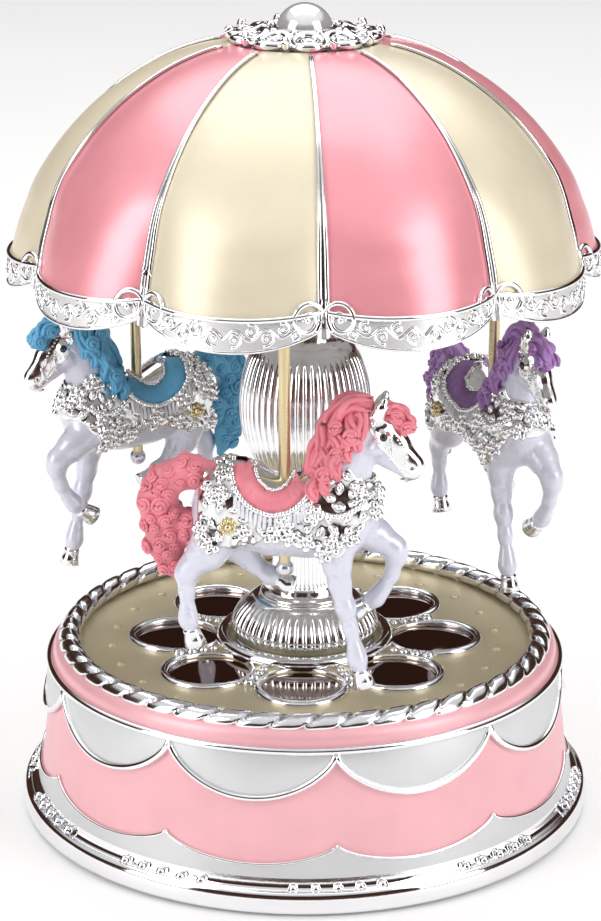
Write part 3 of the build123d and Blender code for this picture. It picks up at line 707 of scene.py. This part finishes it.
class Clay:
    """Distance field on a grid, for soft forms made from rounded limbs."""

    def __init__(self, low, high, step):
        self.low, self.step = np.asarray(low, float), step
        self.axes = [np.arange(a, b + step, step) for a, b in zip(low, high)]
        self.field = np.full([len(a) for a in self.axes], 8.0, np.float32)

    def window(self, low, high):
        """The slices of the grid inside a box, with their coordinates."""
        cuts, parts = [], []
        for axis, a, b in zip(self.axes, low, high):
            i, j = np.searchsorted(axis, a), np.searchsorted(axis, b)
            cuts.append(slice(i, j))
            parts.append(axis[i:j])
        x, y, z = np.meshgrid(*parts, indexing="ij", sparse=True)
        return tuple(cuts), x, y, z

    def limb(self, points, blend=1.0, flat=1.0, carve=False):
        """Adds (or carves) round-jointed limbs through (x, y, z, radius); flat thins them along Y."""
        points = [np.asarray(p, float) for p in points]
        if len(points) == 1:
            points = points * 2
        for a, b in zip(points, points[1:]):
            reach = max(a[3], b[3]) + blend * 1.5 + 1.0
            cut, x, y, z = self.window(np.minimum(a[:3], b[:3]) - reach, np.maximum(a[:3], b[:3]) + reach)
            line = b[:3] - a[:3]
            size = max(line @ line, 1e-9)
            dx, dy, dz = x - a[0], y - a[1], z - a[2]
            t = np.clip((dx * line[0] + dy * line[1] + dz * line[2]) / size, 0, 1)
            gap = np.sqrt((dx - t * line[0])**2 + ((dy - t * line[1]) / flat)**2 + (dz - t * line[2])**2)
            found = (gap - (a[3] + (b[3] - a[3]) * t)) * (flat if flat < 1 else 1.0) ** 0.5
            self.field[cut] = melt(self.field[cut], found, blend, carve)

    def mesh(self):
        return surface_net(self.field, self.low, self.step)


def melt(a, b, blend, carve=False):
    """Joins two fields (or carves b out of a) with a soft seam."""
    if carve:
        return -melt(-a, b, blend)
    h = np.maximum(blend - np.abs(a - b), 0) / max(blend, 1e-6)
    return np.minimum(a, b) - h * h * blend / 4


def surface_net(field, low, step):
    """Closed quad mesh where the field crosses zero (naive surface nets)."""
    inside = field < 0
    shape = np.array(field.shape) - 1
    corners = [(i, j, k) for i in (0, 1) for j in (0, 1) for k in (0, 1)]
    count = sum(inside[i:shape[0] + i, j:shape[1] + j, k:shape[2] + k].astype(np.int8) for i, j, k in corners)
    cells = np.argwhere((count > 0) & (count < 8))
    ids = np.full(tuple(shape), -1, int)
    ids[tuple(cells.T)] = np.arange(len(cells))
    total, hits = np.zeros((len(cells), 3)), np.zeros(len(cells))
    for c in corners:
        for axis in range(3):
            if c[axis] == 0:
                d = tuple(1 if i == axis else v for i, v in enumerate(c))
                f0, f1 = field[tuple((cells + c).T)], field[tuple((cells + d).T)]
                cross = (f0 < 0) != (f1 < 0)
                t = np.where(cross, f0 / np.where(cross, f0 - f1, 1), 0)
                point = np.array(c) + t[:, None] * (np.array(d) - np.array(c))
                total += np.where(cross[:, None], point, 0)
                hits += cross
    verts = low + step * (cells + total / hits[:, None])
    faces = []
    for axis in range(3):
        b, c = (axis + 1) % 3, (axis + 2) % 3
        near = [slice(None)] * 3
        far = [slice(None)] * 3
        near[axis], far[axis] = slice(0, -1), slice(1, None)
        spots = np.argwhere(inside[tuple(near)] != inside[tuple(far)])
        within = [(spots[:, i] > 0) & (spots[:, i] < shape[i]) for i in (b, c)]
        spots = spots[within[0] & within[1]]
        ring = []
        for sb, sc in ((0, 0), (1, 0), (1, 1), (0, 1)):
            cell = spots.copy()
            cell[:, b] -= sb
            cell[:, c] -= sc
            ring.append(ids[tuple(cell.T)])
        quads = np.stack(ring, -1)
        flip = inside[tuple(near)][tuple(spots.T)]
        quads[flip] = quads[flip][:, ::-1]
        faces.append(quads)
    return verts, np.vstack(faces)


# Horses. Points are (x forward, y left, z height, radius), with the pole at x = y = 0.

BODY = [(9.2, 0, 71.2, 6.0), (4.0, 0, 70.6, 6.2), (-2.0, 0, 70.8, 6.2), (-8.0, 0, 73.2, 6.6),
        (-10.0, 0, 71.6, 6.3)]
RUMP = [(-9.6, 1.6, 74.2, 5.4), (-9.6, -1.6, 74.2, 5.4)]
CHEST = [(11.6, 0, 72.8, 4.9), (10.4, 0, 69.4, 4.4)]
NECK = [(7.8, 0, 75.2, 5.2), (10.6, 0, 81.0, 4.0), (12.6, 0, 86.0, 3.3), (14.9, 0, 89.2, 2.8)]
HEAD = [(16.6, 0, 87.6, 3.1), (19.2, 0, 84.6, 2.35), (21.6, 0, 81.6, 1.75), (22.4, 0, 80.8, 1.85)]
JAW = [(15.4, 0, 88.0, 2.7), (16.3, 0, 84.9, 2.7), (18.6, 0, 82.7, 2.0), (21.3, 0, 80.5, 1.6)]
MANE = [(15.2, 0, 91.6, 1.9), (11.9, 0, 91.8, 2.3), (9.2, 0, 88.8, 2.5), (7.6, 0, 84.8, 2.5),
        (6.0, 0, 81.0, 2.5), (4.6, 0, 78.4, 1.9)]
MANE_FALLS = [
    [(13.6, 0.8, 91.0, 1.0), (13.9, 2.6, 89.0, 1.05), (12.9, 3.4, 86.4, 0.9), (13.3, 3.5, 84.4, 0.4)],
    [(11.4, 0.8, 90.6, 1.2), (12.0, 3.0, 87.8, 1.2), (10.9, 3.7, 85.0, 1.1), (11.6, 3.7, 82.4, 0.4)],
    [(9.0, 1.0, 88.2, 1.2), (9.9, 3.4, 85.2, 1.3), (8.9, 4.0, 82.0, 1.2), (9.9, 4.4, 79.4, 0.5)],
    [(7.2, 1.0, 84.6, 1.2), (8.0, 3.8, 81.8, 1.3), (7.0, 4.5, 79.0, 1.2), (7.9, 5.0, 76.8, 0.5)],
    [(5.8, 0.9, 81.0, 1.2), (6.2, 3.6, 79.4, 1.3), (5.2, 4.7, 77.4, 1.1), (5.9, 5.2, 75.6, 0.4)],
]
MANE_ROSES = [(11.9, 4.0, 87.4, 1.6), (9.4, 4.3, 84.2, 1.2), (7.4, 4.9, 80.4, 1.5), (5.4, 4.8, 78.2, 1.1),
              (9.3, 3.2, 88.6, 1.2), (21.6, 1.7, 88.4, 1.2), (19.4, 1.9, 90.2, 1.1)]
FORELOCK = [(16.6, 0, 91.2, 1.7), (19.0, 0, 90.6, 1.8), (21.0, 0, 89.0, 1.6), (22.4, 0, 87.4, 1.0)]
TAIL = [(-12.9, 0, 78.7, 2.2), (-16.8, 0, 78.7, 3.2), (-20.5, 0, 76.9, 3.3), (-22.4, 0, 73.4, 3.4),
        (-21.6, 0, 70.6, 3.4), (-21.2, 0, 65.6, 3.2), (-20.3, 0, 62.2, 2.2), (-19.0, 0, 59.2, 0.9)]
TAIL_LOOP = [(-21.0, 0, 69.4, 3.2), (-16.8, 0, 68.7, 3.2), (-13.6, 0, 71.8, 2.6)]
TAIL_HOLE = (-16.7, 73.8, 2.05)      # x, height, radius
LEGS = [
    [(-11.2, -2.8, 69.0, 4.6), (-13.4, -2.9, 65.2, 3.3), (-16.2, -2.9, 62.4, 2.0), (-17.2, -2.9, 60.8, 1.75),
     (-17.1, -2.9, 57.6, 1.2), (-17.0, -2.9, 54.0, 1.15), (-16.9, -2.9, 52.2, 1.45), (-16.5, -2.9, 50.8, 1.2)],
    [(-10.2, 2.8, 68.6, 4.2), (-8.8, 2.8, 64.6, 2.9), (-6.6, 2.9, 61.9, 1.85), (-5.4, 2.9, 60.6, 1.3),
     (-3.4, 2.9, 59.2, 1.25), (-2.6, 2.9, 58.8, 1.4), (-1.9, 2.9, 58.4, 1.15)],
    [(9.6, -2.7, 68.0, 3.6), (9.5, -2.9, 63.4, 2.3), (10.0, -2.9, 59.6, 1.75), (11.0, -2.9, 55.4, 1.6),
     (11.9, -2.9, 51.4, 1.15), (12.8, -2.9, 47.6, 1.15), (13.15, -2.9, 45.6, 1.5), (13.6, -2.9, 44.0, 1.2)],
    [(12.0, 2.7, 69.6, 3.8), (16.0, 2.9, 67.0, 2.7), (19.2, 2.9, 64.8, 1.95), (19.6, 2.9, 63.2, 1.6),
     (18.7, 2.9, 59.6, 1.15), (17.2, 2.9, 57.0, 1.15), (15.9, 2.9, 55.2, 1.45), (14.8, 2.9, 54.2, 1.15)],
]
# Middle of each hoof's crown and of its sole
HOOVES = [((-16.5, -2.9, 50.8), (-15.6, -2.9, 47.4)), ((-1.9, 2.9, 58.4), (1.0, 2.9, 56.9)),
          ((13.6, -2.9, 44.0), (14.5, -2.9, 40.6)), ((14.8, 2.9, 54.2), (11.7, 2.9, 51.9))]
EARS = [[(16.3, s * 1.5, 90.4, 1.2), (17.0, s * 1.8, 92.0, 0.95), (17.5, s * 1.9, 93.4, 0.4)]
        for s in (-1, 1)]
# Middle line of the saddle's coloured band, as (x, height)
SADDLE = [(-7.4, 81.0), (-6.5, 78.4), (-4.6, 76.2), (-2.1, 75.0), (0.6, 75.3), (2.5, 76.5), (3.5, 77.8)]
# Bead chains of the breast collar, crupper and bridle: points (x, height), beads, size, lift
CHAINS = [
    ([(4.6, 74.8), (8.6, 73.2), (12.2, 74.0), (15.0, 76.2)], 17, 0.52, 0.75),
    ([(-9.6, 76.4), (-11.6, 77.4), (-13.4, 77.2)], 8, 0.48, 0.7),
    ([(15.2, 90.2), (16.0, 88.0), (16.9, 85.6), (18.8, 84.3)], 12, 0.27, 0.2),
    ([(18.6, 86.2), (18.9, 84.4), (18.4, 82.7)], 8, 0.27, 0.2),
    ([(21.4, 82.9), (21.0, 81.6), (20.4, 80.9)], 6, 0.27, 0.2),
    ([(17.6, 89.2), (19.8, 86.2), (21.4, 83.2)], 11, 0.24, 0.2),
]
STEP = 0.26        # of the clay's grid


def horse_clay():
    clay = Clay((-24, -8.5, 38), (25, 8.5, 96), STEP)
    clay.limb(BODY, 2.4, 0.86)
    clay.limb(RUMP, 2.4)
    clay.limb(CHEST, 2.4, 0.95)
    clay.limb(NECK, 3.0, 0.72)
    clay.limb(HEAD, 1.2, 0.72)
    clay.limb(JAW, 1.2, 0.66)
    for leg in LEGS:
        clay.limb(leg, 1.5)
    for side in (-1, 1):
        nostril = [(22.3, side * 1.25, 81.2, 0.45)]
        mouth = [(23.6, side * 0.9, 79.6, 0.16), (20.8, side * 1.7, 80.6, 0.16)]
        brow = [(17.2, side * 2.25, 86.9, 0.95)]
        cheek = [(16.2, side * 2.3, 84.6, 1.1)]
        clay.limb(nostril, 0.5, carve=True)
        clay.limb(mouth, 0.3, carve=True)
        clay.limb(brow, 0.8)
        clay.limb(cheek, 1.6)
    for ear in EARS:
        clay.limb(ear, 0.5)
    return clay


class Skin:
    """Looks up the horse's half-width and surface normals from its clay."""

    def __init__(self, clay):
        self.clay = clay
        self.slopes = np.gradient(clay.field, clay.step)

    def index(self, point):
        return tuple(int(round((c - a[0]) / self.clay.step)) for c, a in zip(point, self.clay.axes))

    def width(self, x, z):
        i, _, k = self.index((x, 0, z))
        row = self.clay.field[i, :, k]
        found = np.flatnonzero(row < 0)
        return float(self.clay.axes[1][found[-1]]) if len(found) else 0.0

    def point(self, x, z, side, lift=0.0):
        """The point of the skin beside (x, z), lifted off it."""
        p = np.array([x, side * self.width(x, z), z])
        return p + self.normal(p) * lift

    def normal(self, p):
        spot = self.index(p)
        n = np.array([s[spot] for s in self.slopes], float)
        return n / max(np.linalg.norm(n), 1e-6)


def frame_about(normal):
    """Two unit vectors square to a normal."""
    side = np.cross(normal, (0.11, 0.97, 0.2) if abs(normal[1]) < 0.8 else (0.97, 0.1, 0.2))
    side /= np.linalg.norm(side)
    return side, np.cross(normal, side)


def flower(clay, p, normal, size, spin):
    """Five-petalled blossom of clay on a surface."""
    side, rise = frame_about(normal)
    for k in range(5):
        a = spin + k * 2 * math.pi / 5
        tip = p + (side * math.cos(a) + rise * math.sin(a)) * size * 0.78 + normal * size * 0.12
        clay.limb([(*tip, size * 0.46)], 0.18)
    clay.limb([(*(p + normal * size * 0.38), size * 0.34)], 0.1)


def relief_floor(x):
    """Lower edge of the plated relief: low over the shoulder and haunch, high under the saddle."""
    lift = 1.5 * np.exp(-((x + 0.5) / 4.4)**4) - 1.6 * np.exp(-((x - 8.4) / 2.8)**2)
    return 67.2 + lift + 5.0 * np.clip((x - 11.0) / 3.5, 0, 1) + 0.35 * np.sin(x * 1.7)


def relief_top(x):
    """Upper edge of the plated relief, across the neck."""
    return np.interp(x, [-15.0, 2.5, 5.0, 8.0, 11.5, 13.0, 17.0], [90.0, 90.0, 77.0, 80.0, 81.5, 79.6, 78.6])


def decorated(x, z):
    """Whether the blossoms cover a spot: the trunk clear of the saddle and its fringe."""
    inside_saddle = -9.4 < x < 5.2 and z > 72.0 + 0.17 * abs(x + 2.0) ** 1.75
    return -13.8 < x < 16.5 and relief_floor(x) + 0.5 < z < relief_top(x) - 0.4 and not inside_saddle


def harness(source, skin, verts):
    """Plated relief over the trunk: a thin shell crowded with blossoms, leaves and beads."""
    clay = Clay(source.low, [a[-1] - source.step / 2 for a in source.axes], source.step)
    x, _, z = np.meshgrid(*source.axes, indexing="ij", sparse=True)
    trunk = np.maximum(np.maximum(relief_floor(x) - z, z - relief_top(x)), -14.8 - x)
    face = np.maximum(88.4 - 1.44 * (x - 14.5) - z, 14.8 - x)
    mask = np.minimum(trunk, face)
    thickness = np.where(trunk < face, 0.4, 0.2)
    clay.field = np.maximum(source.field - thickness, mask * 0.8).astype(np.float32)
    rng = random.Random(11)
    spots = [v for v in verts if decorated(v[0], v[2])]
    rng.shuffle(spots)
    chosen = []
    for v in spots:
        size = 1.55 if len(chosen) % 3 == 0 else 1.05
        if all((v - p) @ (v - p) > (0.82 * (size + s))**2 for p, s in chosen):
            chosen.append((v, size))
    for p, size in chosen:
        normal = skin.normal(p)
        if size > 1.2:
            flower(clay, p + normal * 0.45, normal, size, rng.uniform(0, 6.3))
        else:
            side, rise = frame_about(normal)
            a = rng.uniform(0, 6.3)
            ahead = side * math.cos(a) + rise * math.sin(a)
            q = p + normal * 0.5
            clay.limb([(*(q - ahead * 0.75), 0.3), (*q, 0.55), (*(q + ahead * 0.8), 0.25)], 0.15)
    return clay


def tress(shape, path, rng, strands, thick, curl):
    """Hair: a core with wavy strands wound loosely round it."""
    core = through(path, 40)
    shape.tube(core[:, :3], core[:, 3] * 0.78, 12)
    ahead = unit(np.gradient(core[:, :3], axis=0))
    side = unit(np.cross(ahead, (0.0, 1.0, 0.05)))
    rise = np.cross(side, ahead)
    t = np.linspace(0, 1, 40)
    for k in range(strands):
        phase = 2 * np.pi * k / strands + rng.uniform(-0.15, 0.15)
        wobble = rng.uniform(0, 6.3)
        turn = phase + curl * t + 0.35 * np.sin(9 * t + wobble)
        out = core[:, 3] * (0.82 + 0.16 * np.sin(15 * t + wobble))
        line = core[:, :3] + (side * np.cos(turn)[:, None] + rise * np.sin(turn)[:, None]) * out[:, None]
        ends = np.clip(np.minimum(t, 1 - t) * 9, 0.35, 1)
        shape.tube(line, thick * ends * (0.75 + 0.35 * core[:, 3] / core[:, 3].max()), 7)


def rose(shape, centre, normal, size, spin, hand):
    """Ringlet: a strand wound up to a knob, over a low mound."""
    side, rise = frame_about(normal)
    t = np.linspace(0, 1, 28)
    a = spin + hand * t * 2.1 * 2 * np.pi
    r = size * (1 - 0.86 * t)
    line = np.asarray(centre) + side * (r * np.cos(a))[:, None] + rise * (r * np.sin(a))[:, None]
    line = line + normal * (size * (0.1 + 0.55 * t))[:, None]
    shape.tube(line, size * 0.27, 8)
    shape.ball(np.asarray(centre) - normal * size * 0.15, size * 0.72)


def hair():
    rng = random.Random(5)
    mane, tail = Shape(), Shape()
    tress(mane, MANE, rng, 11, 0.62, 1.2)
    tress(mane, FORELOCK, rng, 7, 0.5, 0.8)
    for side in (-1, 1):
        for fall in MANE_FALLS:
            tress(mane, [(x, side * y, z, r) for x, y, z, r in fall], rng, 5, 0.42, 1.6)
        for x, y, z, size in MANE_ROSES:
            rose(mane, (x, side * y, z), unit(np.array([0.05, side * 1.0, 0.15])), size, x, side)
    clay = Clay((-28, -4.5, 56), (-9, 4.5, 86), STEP)
    clay.limb(TAIL, 1.2, 0.68)
    clay.limb(TAIL_LOOP, 1.2, 0.62)
    hole_x, hole_z, hole_r = TAIL_HOLE
    clay.limb([(hole_x, -4.0, hole_z, hole_r), (hole_x, 4.0, hole_z, hole_r)], 0.6, carve=True)
    skin = Skin(clay)
    spots = []
    for _ in range(2600):
        x, z = rng.uniform(-26.5, -12.6), rng.uniform(58.5, 83.8)
        size = rng.uniform(0.95, 1.55)
        clear = math.hypot(x - hole_x, z - hole_z) > hole_r + size
        apart = all(math.hypot(x - a, z - b) > 0.86 * (size + c) for a, b, c in spots)
        if clear and apart and skin.width(x, z) > 1.0:
            spots.append((x, z, size))
    for x, z, size in spots:
        for side in (-1, 1):
            p = skin.point(x, z, side)
            rose(tail, p, skin.normal(p), size, rng.uniform(0, 6.3), rng.choice((-1, 1)))
    tail.add(*clay.mesh())
    return mane, tail


def saddle(skin):
    """Coloured cloth band, its roped edges and fringe, and the seat."""
    cloth, rope, seat, fringe = Shape(), Shape(), Shape(), Shape()
    line = through(SADDLE, 40)
    ahead = unit(np.gradient(line, axis=0))
    out = np.stack([ahead[:, 1], -ahead[:, 0]], -1)
    out = np.where(((line - np.array([-2.5, 79.5])) * out).sum(1, keepdims=True) < 0, -out, out)
    for side in (-1, 1):
        rows = []
        for offset, lift in ((-1.5, -0.2), (-1.45, 0.75), (-0.7, 0.95), (0.0, 1.0), (0.7, 0.95), (1.45, 0.75),
                             (1.5, -0.2)):
            rows.append([skin.point(x, min(z, 80.4), side, lift) for x, z in line + out * offset])
        cloth.sheet(np.array(rows))
        for offset, size in ((1.75, 0.55), (-1.7, 0.42)):
            for x, z in through(line + out * offset, 34):
                rope.ball(skin.point(x, min(z, 80.3), side, 0.75), size)
        for x, z in through(line + out * 2.2, 26)[5:-4]:
            top = skin.point(x, z, side, 0.7)
            low = skin.point(x, z - 2.0, side, 0.75)
            middle = (top + low) / 2 + (0, side * 0.15, 0)
            fringe.tube(through([top, middle, low], 8), np.linspace(0.34, 0.42, 8), 6)
    x, z = through([(-7.6, 79.4), (-6.6, 81.2), (-5.6, 81.0), (-4.0, 78.6), (-1.6, 77.3), (0.6, 77.7),
                    (1.9, 79.0), (2.7, 78.6), (3.2, 76.8)], 44).T[:, :, None]
    bend = np.linspace(-1.45, 1.45, 23)
    width, drop = 4.3 - 0.06 * (x + 2.5)**2, 3.9
    grid = np.stack(np.broadcast_arrays(x, width * np.sin(bend), z - drop * (1 - np.cos(bend))), -1)
    seat.sheet(np.concatenate([grid, grid[:, ::-1] - (0, 0, 0.7)], 1), wrap_v=True)
    return cloth, rope, seat, fringe


def tack(skin):
    """Bead chains with their rosettes."""
    beads = Shape()
    for side in (-1, 1):
        for points, count, size, lift in CHAINS:
            for x, z in through(points, count):
                beads.ball(skin.point(x, z, side, lift), size)
        for x, z, size in ((18.8, 84.3, 0.55), (21.1, 81.9, 0.5), (15.6, 89.2, 0.6)):
            beads.ball(skin.point(x, z, side, 0.25), size)
    return beads


def hoof_shape():
    shape = Shape()
    t = np.array([0.0, 0.10, 0.16, 0.24, 0.6, 0.97, 1.0])[:, None]
    size = [1.25, 1.5, 1.62, 1.5, 1.75, 2.0, 1.8]
    for top, low in np.array(HOOVES):
        shape.tube(top + (low - top) * t, size, 20, cap=0.0)
    return shape


def blossom(knot, skin, side):
    """Gilt blossom on the haunch: eight petals round a boss."""
    centre = skin.point(-9.3, 71.6, side, 0.9)
    normal = skin.normal(skin.point(-9.3, 71.6, side))
    a, b = frame_about(normal)
    for k in range(8):
        angle = k * math.pi / 4
        knot.ball(centre + (a * math.cos(angle) + b * math.sin(angle)) * 1.05, 0.52)
    knot.ball(centre + normal * 0.3, 0.75)


def breast_crest():
    """Rosette on the front of the chest."""
    crest = Shape()
    for k in range(7):
        angle = k * 2 * math.pi / 7
        crest.ball((16.4, 1.25 * math.cos(angle), 76.3 + 1.25 * math.sin(angle)), 0.6)
    crest.ball((16.8, 0, 76.3), 0.95)
    return crest


def build_horse_meshes():
    clay = horse_clay()
    skin = Skin(clay)
    body, relief, eyes, gilt = Shape(), Shape(), Shape(), Shape()
    verts, faces = clay.mesh()
    body.add(verts, faces)
    relief.add(*harness(clay, skin, verts).mesh())
    mane, tail = hair()
    cloth, rope, seat, fringe = saddle(skin)
    for side in (-1, 1):
        eyes.ball((17.35, side * 2.98, 86.95), 0.78, (1, 0.7, 1))
        blossom(gilt, skin, side)
    return {"body": body, "relief": relief, "mane": mane, "tail": tail, "cloth": cloth, "rope": rope,
            "seat": seat, "fringe": fringe, "eyes": eyes, "gilt": gilt, "crest": breast_crest(),
            "tack": tack(skin), "hooves": hoof_shape()}


def place_horses():
    parts = build_horse_meshes()
    pearl = material("horse_pearl", (0.70, 0.71, 0.81), 0.12, 0.28, 0.03, 0.012, grain=0.03, coat=0.5,
                     coat_rough=0.15, subsurface=0.15)
    hoof = material("hoof_plating", (0.80, 0.81, 0.83), 1.0, 0.16, 0.05, 0.05, grain=0.02)
    gilt = material("gilt_knot", (0.70, 0.60, 0.36), 1.0, 0.25, 0.05, 0.05, grain=0.02)
    eye = material("horse_eye", (0.012, 0.011, 0.012), 0.0, 0.08, 0.03, 0.1, grain=0.0, coat=0.5)
    tassel = material("fringe_white", (0.80, 0.80, 0.84), 0.1, 0.4, 0.05, 0.05, grain=0.05)
    colours = {"front": (0.86, 0.26, 0.32), "left": (0.12, 0.42, 0.66), "right": (0.42, 0.22, 0.52)}
    for name, (bearing, heading) in HORSES.items():
        # Hair dye: its creases between strands are darkened with painted shade.
        dye = material(f"hair_{name}", colours[name], 0.05, 0.42, 0.06, 0.10, 160.0, grain=0.12, sheen=0.15,
                       crease_shade=(0.62, 0.60, 0.62))
        paint = {"body": pearl, "mane": dye, "tail": dye, "cloth": dye, "seat": chrome, "fringe": tassel,
                 "eyes": eye, "gilt": gilt, "hooves": hoof}
        cos, sin = math.cos(math.radians(heading)), math.sin(math.radians(heading))
        turn = np.array([[cos, -sin, 0], [sin, cos, 0], [0, 0, 1]])
        for part, shape in parts.items():
            placed = shape.moved(turn, at(POLE_CIRCLE, bearing, 0.0))
            finish = paint.get(part, relief_chrome)
            piece = make(f"horse_{name}_{part}", placed, [finish], f"horse_{name}", smooth=180)
            if part == "body":
                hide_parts(f"horse_{name}")


# Canopy poles

def poles():
    for name, (bearing, _) in HORSES.items():
        shape = Shape()
        low, high = bottom_of(f"pole_ball_{name}"), top_of(f"pole_ball_{name}")
        shape.ball(at(POLE_CIRCLE, bearing, (low + high) / 2), (high - low) / 2)
        centre = at(POLE_CIRCLE, bearing, 0.0)
        shape.tube([centre + (0, 0, z) for z in (high - 0.5, high + 1.0, high + 2.2)], [0.9, 0.75, 0.95], 12)
        piece = make(f"pole_knob_{name}", shape, [knob_silver], "carousel")
        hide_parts(f"pole_ball_{name}")


# Plain solids that keep their CAD mesh

# Colour, metallic, roughness, its spread, mottle and grain
PLAIN_FINISHES = {
    "cover_plastic": ((0.03, 0.03, 0.032), 0, 0.5, 0.06, 0.15, 0.3),
    "foot_rubber": ((0.012, 0.012, 0.012), 0, 0.75, 0.08, 0.2, 0.4),
    "screw_steel": ((0.50, 0.50, 0.51), 1, 0.3, 0.08, 0.06, 0.1),
    "bush_plastic": ((0.70, 0.68, 0.62), 0, 0.45, 0.05, 0.06, 0.1),
    "shaft_steel": ((0.56, 0.56, 0.57), 1, 0.2, 0.06, 0.05, 0.04),
    "hub_plastic": ((0.68, 0.66, 0.60), 0, 0.45, 0.05, 0.06, 0.1),
    "cast_zinc": ((0.42, 0.43, 0.44), 1, 0.52, 0.08, 0.1, 0.5),
    "gear_brass": ((0.72, 0.50, 0.20), 1, 0.28, 0.08, 0.1, 0.08),
    "spring_steel": ((0.16, 0.19, 0.27), 1, 0.3, 0.08, 0.12, 0.06),
    "comb_steel": ((0.52, 0.52, 0.54), 1, 0.3, 0.07, 0.06, 0.1),
    "key_steel": ((0.55, 0.49, 0.34), 1, 0.3, 0.07, 0.08, 0.08),
    "fan_plastic": ((0.80, 0.77, 0.68), 0, 0.4, 0.06, 0.05, 0.08),
}


def paint_frame():
    finishes = {
        "foot_chrome": chrome, "drum_pink": drum_pink, "deck_beige": deck_beige, "smoked_mirror": mirror_painted_reflection,
        "trim_silver": satin_silver, "column_silver": column_chrome, "canopy_panels": satin_pink,
        "canopy_silver": chrome, "finial_silver": chrome, "pole_gold": pole_gold,
        "horse_pink": satin_pink, "horse_purple": satin_pink, "horse_blue": satin_pink,
    }
    for name, (*values, grain) in PLAIN_FINISHES.items():
        finishes[name] = material(name, *values, grain=grain)
    for entry in frame["record"]["subparts"]:
        node = frame["nodes"][entry["node"]]
        finish = finishes[entry["material_slot"]]
        if not node.material_slots:
            node.data.materials.append(finish)
        for place in node.material_slots:
            place.material = finish


# Floor, light and camera

def floor():
    bpy.ops.mesh.primitive_plane_add(size=6.0, location=(0, 0, 0))
    plane = bpy.context.object
    plane.name = "floor"
    plane.data.materials.append(material("studio_floor", (0.93, 0.93, 0.93), 0, 0.6, 0.05, 0.008, 3.0,
                                         grain=0.02, specular=0.2))


def lamp(name, place, aim, width, height, power):
    data = bpy.data.lights.new(name, "AREA")
    data.shape = "RECTANGLE"
    data.size, data.size_y, data.energy = width, height, power
    lamp_object = bpy.data.objects.new(name, data)
    lamp_object.location = place
    lamp_object.rotation_euler = (Vector(aim) - Vector(place)).to_track_quat("-Z", "Y").to_euler()
    bpy.context.scene.collection.objects.link(lamp_object)


def world_light():
    """Bright sky for the gloss to mirror, over a dark brown room near the horizon."""
    world = bpy.data.worlds.new("studio")
    bpy.context.scene.world = world
    world.use_nodes = True
    tree = world.node_tree
    tree.nodes.clear()
    out = tree.nodes.new("ShaderNodeOutputWorld")
    ground = tree.nodes.new("ShaderNodeBackground")
    link(tree, ground.outputs["Background"], out.inputs["Surface"])
    coords = tree.nodes.new("ShaderNodeTexCoord")
    split = tree.nodes.new("ShaderNodeSeparateXYZ")
    link(tree, coords.outputs["Generated"], split.inputs["Vector"])
    bands = ramp(tree, split.outputs["Z"], [
        (0.0, (0.10, 0.06, 0.045)), (0.30, (0.045, 0.018, 0.012)), (0.50, (0.07, 0.035, 0.025)),
        (0.62, (0.75, 0.75, 0.75)), (1.0, (1.0, 1.0, 1.0))])
    link(tree, bands.outputs["Color"], ground.inputs["Color"])
    ground.inputs["Strength"].default_value = 0.85


def camera():
    data = bpy.data.cameras.new("camera")
    data.sensor_width = 36.0
    data.lens = 106.36
    data.shift_x = -0.0046
    view = bpy.data.objects.new("camera", data)
    view.location = (0.0, -0.4914, 0.2288)
    view.rotation_euler = Euler((math.radians(90 - 18.10), 0, 0))
    bpy.context.scene.collection.objects.link(view)
    bpy.context.scene.camera = view
    bpy.context.scene.view_settings.view_transform = "Standard"


foot_ring()
drum()
deck_relief()
gadroon_ring()
column()
pink_gores = gores("canopy_pink_gores", 0, satin_pink)
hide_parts("canopy_dome")
gores("canopy_beige_gores", 1, satin_beige)
canopy_ribs()
canopy_band()
crown()
place_horses()
poles()
paint_frame()
floor()
world_light()
for side, name in ((-1, "left_softbox"), (1, "right_softbox")):
    lamp(name, (side * 0.85, -0.55, 0.50), (0, 0, 0.09), 0.55, 0.9, 6.3)
lamp("top_softbox", (0.0, 0.5, 1.3), (0, 0.15, 0.0), 1.6, 1.4, 11)
camera()
